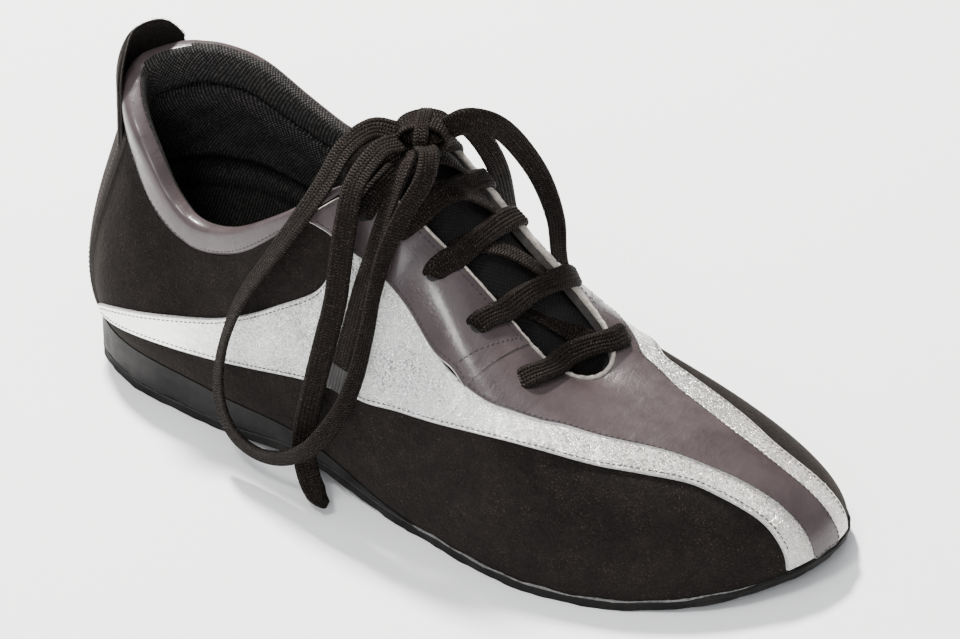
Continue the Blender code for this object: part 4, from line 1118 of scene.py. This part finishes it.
def make_tongue():
    """The padded mesh tongue, with a round top and a soft ridge down its middle."""
    stations = smooth_rows([(value,) for value in TONGUE_STATIONS], 61)[:, 0]
    under = np.linspace(0.90, 1.0, 9)[:-1]
    rows = []
    for station in stations:
        row = [smooth_point(station, height) for height in under]
        row += [bridge(station, STATIONS - station, share) for share in np.linspace(0.0, 1.0, 25)]
        row += [smooth_point(STATIONS - station, height) for height in under[::-1]]
        rows.append(row)
    grid = np.array(rows)
    rise = unit(grid[-1].mean(axis=0) - grid[-8].mean(axis=0))
    middle = grid[-1].mean(axis=0)
    top = []
    for share in np.linspace(0.0, 1.0, 22)[1:]:
        reach = np.interp(share, *TONGUE_TOP)
        width = math.sqrt(max(0.30, 1.0 - (0.83 * share) ** 4))
        top.append(middle + (grid[-1] - middle) * width + rise * TONGUE_REACH * reach)
    grid = np.concatenate([grid, np.array(top)])
    along = np.gradient(grid, axis=0)
    across = np.gradient(grid, axis=1)
    normal = unit(np.cross(across, along))
    normal *= np.sign(normal[len(grid) // 2, grid.shape[1] // 2, 2])
    rows, columns = grid.shape[:2]
    side = np.minimum(np.arange(columns), np.arange(columns)[::-1])[None] / 5.0
    tip = (rows - 1 - np.arange(rows))[:, None] / 9.0
    edge = np.clip(np.minimum(np.broadcast_to(side, (rows, columns)), tip), 0.0, 1.0)
    half = 0.5 * TONGUE_PAD * np.sqrt(np.clip(edge * (2.0 - edge), 0.06, 1.0))
    share = np.linspace(-1.0, 1.0, columns)[None]
    puff = TONGUE_RIDGE * np.cos(share * 6.0) * edge
    face = grid - normal * (TONGUE_NEAR + 0.5 * TONGUE_PAD - half - puff)[..., None]
    back = grid - normal * (TONGUE_NEAR + 0.5 * TONGUE_PAD + half)[..., None]
    marks = [0 if row < len(stations) - 2 else 1 for row in range(rows - 1)]
    tongue = sheet_piece("mesh_tongue", face, back, [TONGUE_MESH, SUEDE], marks,
                         replaced=("tongue",), sharp=80.0)
    crest = np.concatenate([grid[-8:, 3], grid[-1, 3:-3], grid[-8:, -4][::-1]])
    crest_up = np.concatenate([normal[-8:, 3], normal[-1, 3:-3], normal[-8:, -4][::-1]])
    crest = crest - crest_up * (TONGUE_NEAR + 0.5 * TONGUE_PAD)
    make_fuzz("tongue_fuzz", crest, unit(rise + 0.3 * crest_up), 260, 0.0016, SUEDE_EDGE, 5)
    frayed = crest[len(crest) // 2 - 3:len(crest) // 2 + 4] + rise * 0.0008
    make_fuzz("tongue_frayed_edge", frayed, unit(rise + 0.5 * crest_up[:7]), 70, 0.0026, CREAM_EDGE, 6)


# Sole

SOLE_MARGIN = 0.001
GAP = 0.0003
INSOLE_THICKNESS = 0.002
INSOLE_INSET = 0.0026
SOLE_RIBS = 15


def plate_top(x):
    return floor_gap(x) + SOLE_THICKNESS


def sole_body(name, low, high, margin, last_station, rounding, materials, replaced, wobble=0.0):
    """A sole layer under the last: its side wall's rows, then ribs across its top and underside."""
    outer = np.linspace(0.0, last_station, int(last_station * 16) + 1)
    whole = last_station >= STATIONS / 2
    stations = np.concatenate([outer, STATIONS - outer[::-1][1 if whole else 0:-1]])
    foot = ring_value(FEATHER, stations)
    away = outward(stations)
    cut = wobble * (np.sin(stations * 7.3) + 0.6 * np.sin(stations * 17.1 + 1.0)
                    + 0.4 * np.sin(stations * 31.0))
    wall = ((1.0, -rounding), (1.0, 0.0), (0.94, 0.0), (0.6, 0.0), (0.2, 0.0), (0.04, 0.0), (0.0, -rounding))
    rows = []
    for share, inset in wall:
        row = foot + away * (margin + inset + cut * (1.0 - share))[:, None]
        row[:, 2] = low(foot[:, 0]) * (1.0 - share) + high(foot[:, 0]) * share
        rows.append(row)
    half = len(outer)
    faces = quads(len(rows), len(stations))
    welted = 2 * len(stations) if len(materials) > 1 else 0
    base = len(rows) * len(stations)
    for source, level in ((rows[0], high), (rows[-1], low)):
        left = source[:half]
        right = np.concatenate([source[:1], source[:half - 1:-1], source[half - 1:half]])[:half]
        for share in np.linspace(0.0, 1.0, SOLE_RIBS):
            rib = left * (1.0 - share) + right * share
            rib[:, 2] = np.where((share > 0.0) & (share < 1.0), level(rib[:, 0]), rib[:, 2])
            rows.append(rib)
        faces += quads(SOLE_RIBS, half, False, base)
        base += SOLE_RIBS * half
    points = np.concatenate(rows)
    make_piece(name, points, faces, materials, replaced, np.arange(len(faces)) < welted, points[:, :2],
               sharp=60.0, weld=4e-5)


def make_sole():
    sole_body("sole_plate", floor_gap, plate_top, SOLE_MARGIN, 10.0, 0.0006, [SOLE_RUBBER, WELT],
              ("outsole",), wobble=0.00022)
    sole_body("heel_block", lambda x: plate_top(x) + GAP * 0.3, seat_top, SOLE_MARGIN, 5.6, 0.0005,
              [RUBBER], ("heel_wedge",), wobble=0.00015)
    sole_body("inner_sole", lambda x: seat_top(x) + GAP, lambda x: seat_top(x) + GAP + INSOLE_THICKNESS,
              -INSOLE_INSET, 10.0, 0.0004, [FOOTBED], ("insole",))


# The sole's raw edges: first and last station, way out, height, half width and height, least share, look
SOLE_EDGES = (
    ("welt_line_outer", 5.3, 9.2, 0.0008, 0.0037, 0.00050, 0.00055, 0.25, WELT_PALE),
    ("toe_edge", 8.3, 12.6, 0.0004, 0.0027, 0.00135, 0.00125, 0.62, SOLE_RUBBER),
)


def make_sole_edges():
    """A pale worn line where the outer forefoot meets the sole, and a rough bead round the toe."""
    for name, start, stop, reach, height, wide, tall, least, material in SOLE_EDGES:
        station = np.linspace(start, stop, 421)
        foot = ring_value(FEATHER, station)
        ragged = (0.5 + 0.28 * np.sin(station * 9.1) + 0.14 * np.sin(station * 37.0 + 1.0)
                  + 0.08 * np.sin(station * 83.0))
        path = foot + outward(station) * (reach + 0.00015 * ragged)[:, None]
        path[:, 2] = floor_gap(foot[:, 0]) + height + 0.0002 * np.sin(station * 13.0)
        path = even(path, 0.0006)[0]
        share = np.linspace(0.0, 1.0, len(path))
        ragged = np.interp(share, np.linspace(0.0, 1.0, len(ragged)), ragged)
        ends = np.clip(np.minimum(share, 1.0 - share) / 0.08, 0.05, 1.0)
        sizes = (least + (1.0 - least) * ragged) * ends
        swept_piece(name, path, np.array((0.0, 0.0, 1.0)), oval(10, wide, tall), material,
                    (), sizes[:, None], sharp=80.0)


# Lace bars and the runs between them, the facings' holes and cut edge, and the knot

def bar_path(row, lift, bow, sink):
    """Centre line and face directions of a lace from hole to hole."""
    outer_hole, outer_height, outer_edge, inner_edge, inner_hole, inner_height = row
    inner_edge = STATIONS - inner_edge
    inner_hole = STATIONS - inner_hole
    share = np.linspace(0.0, 1.0, 14)
    dip = lift - (lift + sink) * np.clip(1.0 - share / 0.34, 0.0, 1.0) ** 2
    parts = []
    for start, stop, low, high, depth in (
        (outer_hole, outer_edge, outer_height, 1.0, dip),
        (inner_edge, inner_hole, 1.0, inner_height, dip[::-1]),
    ):
        station = start + (stop - start) * share
        height = low + (high - low) * share
        parts.append((skin(station, height, depth), smooth_normal(station, height)))
    (first, first_face), (last, last_face) = parts
    start = bridge(outer_edge, inner_edge, 0.0)
    end = bridge(outer_edge, inner_edge, 1.0)
    path, face = list(first), list(first_face)
    for step in np.linspace(0.0, 1.0, 16)[1:-1]:
        arch = bridge(outer_edge, inner_edge, step) - (start * (1.0 - step) + end * step)
        path.append(first[-1] * (1.0 - step) + last[0] * step + arch * bow)
        face.append(first_face[-1] * (1.0 - step) + last_face[0] * step)
    path = np.array(path + list(last))
    face = np.array(face + list(last_face))
    for _ in range(3):
        for line in (path, face):
            line[1:-1] = 0.25 * line[:-2] + 0.5 * line[1:-1] + 0.25 * line[2:]
    path, marks, run = even(path, 0.0010)
    return path, at_marks(marks, run, face), marks


BAR_LACE = lace_profile(LACE_WIDTH, 0.0025)
# Degrees that each bar's face turns by at its start, middle and end
BAR_ROLLS = ((-8.0, 6.0, 16.0), (14.0, -6.0, 20.0), (20.0, 10.0, -8.0), (-10.0, 8.0, 4.0), (6.0, -4.0, 10.0))
UNDER_ROLL = (10.0, -14.0, 12.0)
ROLL_SHARES = (0.0, 0.5, 1.0)
BAR_LIFT = PLUM_TOP + 0.0016
BAR_BOW = 0.50
BAR_SINK = 0.0034
GATHER = 0.010
UNDER_LIFT = -0.0031
UNDER_BOW = 1.45
UNDER_SINK = 0.0036


def make_bars():
    for place, row in enumerate(BARS):
        path, face, marks = bar_path(row, BAR_LIFT, BAR_BOW, BAR_SINK)
        gather = np.clip(np.minimum(marks, marks[-1] - marks) / GATHER, 0.0, 1.0)
        gather = gather * (2.0 - gather)
        pinch = 0.06 * np.sin(marks * 260.0 + place * 1.7)
        sizes = np.stack([0.50 + 0.50 * gather + pinch * gather, 1.45 - 0.45 * gather - pinch], axis=1)
        face = turned(path, face, ROLL_SHARES, BAR_ROLLS[place])
        swept_piece(f"lace_row_{place + 1}", path, face, BAR_LACE, LACE,
                    (f"lace_bar_{place + 1}",), sizes)
    for place, (low, high) in enumerate(zip(BARS, BARS[1:])):
        row = (high[0], 0.93, high[2] - 0.05, low[3] - 0.15, low[4] - 0.1, 0.93)
        path, face, _ = bar_path(row, UNDER_LIFT, UNDER_BOW, UNDER_SINK)
        face = turned(path, face, ROLL_SHARES, UNDER_ROLL)
        swept_piece(f"lace_under_{place + 1}", path, face, FLAT, LACE)


HOLE_RADIUS = 0.0027
HOLE_SHIFT = 0.27
HOLE_TURNS = 24
# A hole's disc: lift and share of its radius, ring by ring
HOLE_RINGS = ((-0.0012, 1.0), (0.00010, 1.0), (0.00022, 0.88), (0.00016, 0.50))


def make_holes():
    """Plain punched holes under the lace ends: discs that follow the leather, painted dark as the shade
    inside each hole.
    """
    for place, row in enumerate(BARS):
        for side, station, height in (("outer", row[0], row[1]), ("inner", STATIONS - row[4], row[5])):
            edge = row[2] if side == "outer" else STATIONS - row[3]
            station = station + HOLE_SHIFT * (edge - station)
            height = height + HOLE_SHIFT * (1.0 - height)
            centre = skin(station, height, PLUM_TOP if place == 0 else FACING_TOP)
            up = smooth_normal(station, height)
            along = unit(smooth_point(station, height + 0.02) - smooth_point(station, height))
            across = np.cross(up, along)
            points = [centre + up * 0.00015, centre - up * 0.0012]
            for lift, size in HOLE_RINGS:
                for turn in circle(HOLE_TURNS):
                    spot = along * math.cos(turn) * 1.15 + across * math.sin(turn)
                    points.append(centre + spot * HOLE_RADIUS * size + up * lift)
            make_piece(f"hole_{side}_{place + 1}", points, ball_faces(len(HOLE_RINGS), HOLE_TURNS), [HOLE_SHADE])


def make_throat_edge():
    """The raw cut edge of the facings, thickest round the throat's lower end."""
    station = np.linspace(4.95, STATIONS - 5.05, 361)
    low_end = np.exp(-((station - 10.1) / 1.1) ** 2)
    ragged = 0.00012 * np.sin(station * 23.0) + 0.00008 * np.sin(station * 57.0 + 1.0)
    path = skin(station, np.full_like(station, 0.997), 0.0017 + 0.0002 * low_end + ragged)
    face = smooth_normal(station, np.full_like(station, 0.985))
    sizes = np.stack([1.0 + 0.65 * low_end, 0.95 + 0.15 * low_end], axis=1)
    path, marks, run = even(path, 0.0008)
    swept_piece("throat_raw_edge", path, at_marks(marks, run, face), oval(12, 0.00055, 0.00105), CREAM_EDGE,
                (), at_marks(marks, run, sizes), sharp=80.0)


AGLET_LENGTH = 0.0085
AGLET_STEP = 0.0007


def make_aglet():
    """The stiff grey tip of the short lace end."""
    path = even(smooth_rows(BOW["lace_end_short"], 400), AGLET_STEP)[0]
    path = path[-int(AGLET_LENGTH / AGLET_STEP):]
    path = np.vstack([path, path[-1] + unit(path[-1] - path[-2]) * 0.0010])
    face = turned(path, VIEW_BACK, (0.0, 1.0), (38.0, 35.0))
    profile = lace_profile(LACE_WIDTH * 1.03, LACE_THICKNESS * 1.25)
    swept_piece("lace_tip", path, face, profile, AGLET, sizes=0.98)


KNOT_PLACE = np.array((0.097, 0.003, 0.1210))
KNOT_HALF = np.array((0.0085, 0.0095, 0.0054))
KNOT_TURNS = 48
KNOT_RINGS = 31
# The wraps: tilt and roll in degrees, shift, reach and lace width
KNOT_WRAPS = (
    ("knot_wrap_a", 26.0, 6.0, -0.0030, 0.93, 0.0068), ("knot_wrap_b", 44.0, -6.0, 0.0030, 0.93, 0.0068),
    ("knot_wrap_c", -58.0, 0.0, 0.0, 1.06, 0.0050),
)


def make_knot():
    """The knot: a folded core with three laces wrapped round it."""
    turn, fall = np.meshgrid(circle(KNOT_TURNS), np.linspace(0.0, math.pi, KNOT_RINGS + 2)[1:-1])
    rings = np.stack([np.sin(fall) * np.cos(turn), np.sin(fall) * np.sin(turn), np.cos(fall)], axis=-1)
    points = np.concatenate([((0.0, 0.0, -1.0), (0.0, 0.0, 1.0)), rings.reshape(-1, 3)])
    fold = 1.0 + 0.10 * np.sin(points[:, 0] * 7.0 + 2.0 * points[:, 2]) - 0.06 * np.cos(points[:, 1] * 6.0)
    core = KNOT_PLACE + points * KNOT_HALF * 0.80 * fold[:, None]
    make_piece("knot_core", core, ball_faces(KNOT_RINGS, KNOT_TURNS), [LACE], ("lace_knot",),
               sheet=(points * KNOT_HALF)[:, :2])
    turn = np.linspace(-0.42 * math.pi, 1.42 * math.pi, 97)
    for name, tilt, roll, shift, reach, width in KNOT_WRAPS:
        spin = math.radians(tilt)
        lean = math.radians(roll)
        aside = np.cos(turn) * math.sin(spin) + np.sin(turn) * math.sin(lean)
        ring = np.stack([np.cos(turn) * math.cos(spin), aside, np.sin(turn) * math.cos(lean)], axis=1)
        path = KNOT_PLACE + ring * KNOT_HALF * reach + np.array((-0.57, 0.82, 0.0)) * shift
        swept_piece(name, path, ring / KNOT_HALF, lace_profile(width, 0.0019), LACE)


# Loose fibres

FIBRE_RADIUS = 0.00006


def make_fuzz(name, line, ways, count, length, material, seed):
    """Short fibres that stand out of a cut edge, each a closed three-sided spike."""
    rng = np.random.default_rng(seed)
    points, faces = [], []
    for _ in range(count):
        place = rng.integers(0, len(line) - 1)
        share = rng.random()
        foot = line[place] * (1.0 - share) + line[place + 1] * share
        way = unit(ways[place] + rng.normal(0.0, 0.55, 3))
        side = unit(np.cross(way, rng.normal(0.0, 1.0, 3)))
        other = np.cross(way, side)
        reach = length * (0.35 + 0.65 * rng.random())
        start = len(points)
        bend = side * reach * 0.25 * rng.normal()
        for ring, size in ((-0.3, 1.0), (0.55, 0.8)):
            middle = foot + way * reach * ring + bend * max(ring, 0.0)
            for angle in circle(3):
                round_way = side * math.cos(angle) + other * math.sin(angle)
                points.append(middle + round_way * FIBRE_RADIUS * size)
        points.append(foot + way * reach + bend * 1.6)
        faces.append((start, start + 2, start + 1))
        for turn in range(3):
            beside = (turn + 1) % 3
            faces.append((start + turn, start + beside, start + 3 + beside, start + 3 + turn))
            faces.append((start + 3 + turn, start + 3 + beside, start + 6))
    make_piece(name, points, faces, [material], weld=1e-8)


# Stitches

STITCH_PITCH = 0.0020
STITCH_LENGTH = 0.00155
STITCH_RADIUS = 0.00019
# A stitch's rings: place along it as a share of its length, width and rise as shares of its radius
STITCH_RINGS = ((-0.5, 0.30, -0.9), (-0.36, 0.85, 0.05), (0.0, 1.0, 0.45), (0.36, 0.85, 0.05),
                (0.5, 0.30, -0.9))
STITCH_TURNS = 6


def seam_piece(name, points, normals, thread):
    """Small thread bulges along a line, as one piece."""
    look, slot = THREADS[thread]
    path, marks, run = even(points, STITCH_PITCH)
    normal = unit(at_marks(marks, run, normals))
    along = unit(np.gradient(path, axis=0))
    side = np.cross(normal, along)
    bulges, faces = [], []
    for centre, ahead, up, across in zip(path[1:-1], along[1:-1], normal[1:-1], side[1:-1]):
        faces += tube_faces(len(STITCH_RINGS), STITCH_TURNS, len(bulges))
        for step, width, rise in STITCH_RINGS:
            for turn in circle(STITCH_TURNS):
                lift = rise * STITCH_RADIUS + math.sin(turn) * (width * STITCH_RADIUS)
                bulges.append(centre + ahead * (step * STITCH_LENGTH) + up * lift
                              + across * math.cos(turn) * (width * STITCH_RADIUS))
    make_piece(name, bulges, faces, [look], weld=1e-7)


def seam_on(edges, from_high, inset, start, stop):
    """A seam line at an inset from an overlay's low or high edge, over part of its length."""
    low, high = edges
    share = np.minimum(inset / np.maximum(overlay_width(low, high), 1e-5), 0.5)
    share = 1.0 - share if from_high else share
    line = low * (1.0 - share)[:, None] + high * share[:, None]
    last = len(line) - 1
    return line[int(start * last):int(stop * last) + 1]


# Seams along edges: edges, from the high one, inset, first and last share, lift, thread
SEAMS = (
    ("seam_silver_low_outer", "silver_outer", False, 0.0016, 0.03, 0.97, SILVER_TOP, "dark"),
    ("seam_silver_low_inner", "silver_inner", False, 0.0016, 0.03, 0.97, SILVER_TOP, "dark"),
    ("seam_silver_high_outer", "silver_outer", True, 0.0016, 0.03, 0.36, SILVER_TOP, "dark"),
    ("seam_silver_high_inner", "silver_inner", True, 0.0016, 0.03, 0.34, SILVER_TOP, "dark"),
    ("seam_facing_low_outer", "eyestay_outer", False, 0.0016, 0.02, 0.99, FACING_TOP, "dark"),
    ("seam_facing_low_inner", "eyestay_inner", False, 0.0016, 0.02, 0.99, FACING_TOP, "dark"),
    ("seam_facing_high_outer", "eyestay_outer", True, 0.0026, 0.06, 0.99, FACING_TOP, "dark"),
    ("seam_facing_high_inner", "eyestay_inner", True, 0.0026, 0.06, 0.99, FACING_TOP, "dark"),
    ("seam_vamp_low", "vamp", False, 0.0013, 0.01, 0.99, PLUM_TOP, "dark"),
)
# Straight seams: start and end station and height, lift, thread
CROSS_SEAMS = (
    ("seam_counter_outer", 0.86, 0.04, 0.82, 0.97, COUNTER_TOP, "pale"),
    ("seam_counter_inner", 19.14, 0.04, 19.18, 0.97, COUNTER_TOP, "pale"),
    ("seam_cross_outer", 6.90, 0.645, 8.18, 0.985, FACING_TOP, "dark"),
    ("seam_cross_inner", 12.96, 0.705, 11.93, 0.985, FACING_TOP, "dark"),
)
THREADS = {"dark": (DARK_THREAD, "black_lace"), "pale": (PALE_THREAD, "black_suede")}
# First and last station of the collar's seam, which starts beside the tab
COLLAR_SEAM = (1.0, 4.1)


def surface_seam(name, station, height, top, thread):
    points = skin(station, height, np.full(len(station), top))
    seam_piece(name, points, smooth_normal(station, height), thread)


def make_seams():
    for name, source, from_high, inset, start, stop, top, thread in SEAMS:
        line = seam_on(EDGES[source], from_high, inset, start, stop)
        surface_seam(name, line[:, 0], line[:, 1], top, thread)
    share = np.linspace(0.0, 1.0, 60)
    for name, station, height, to_station, to_height, top, thread in CROSS_SEAMS:
        stations = station + (to_station - station) * share
        surface_seam(name, stations, height + (to_height - height) * share, top, thread)
    station = np.linspace(-COLLAR_SEAM[1], COLLAR_SEAM[1], 260)
    point, away, up = top_frame(station)
    table = np.array(COLLAR)
    pad, lift = (np.interp(np.abs(station), table[:, 0], table[:, column]) for column in (1, 2))
    points = (point + away * (COLLAR_OUT - 0.035 * (pad * COLLAR_PAD))[:, None]
              + up * (0.19 * (lift * COLLAR_LIFT))[:, None])
    clear_of_tab = np.abs(station) > COLLAR_SEAM[0]
    for side, way in (("inner", -1.0), ("outer", 1.0)):
        keep = clear_of_tab & (np.sign(station) == way)
        seam_piece(f"seam_collar_{side}", points[keep], away[keep], "dark")


make_bow()
make_holes()
make_throat_edge()
make_aglet()
make_upper()
make_lining()
make_collar()
make_tab()
make_tongue()
make_sole()
make_sole_edges()
make_bars()
make_knot()
make_seams()
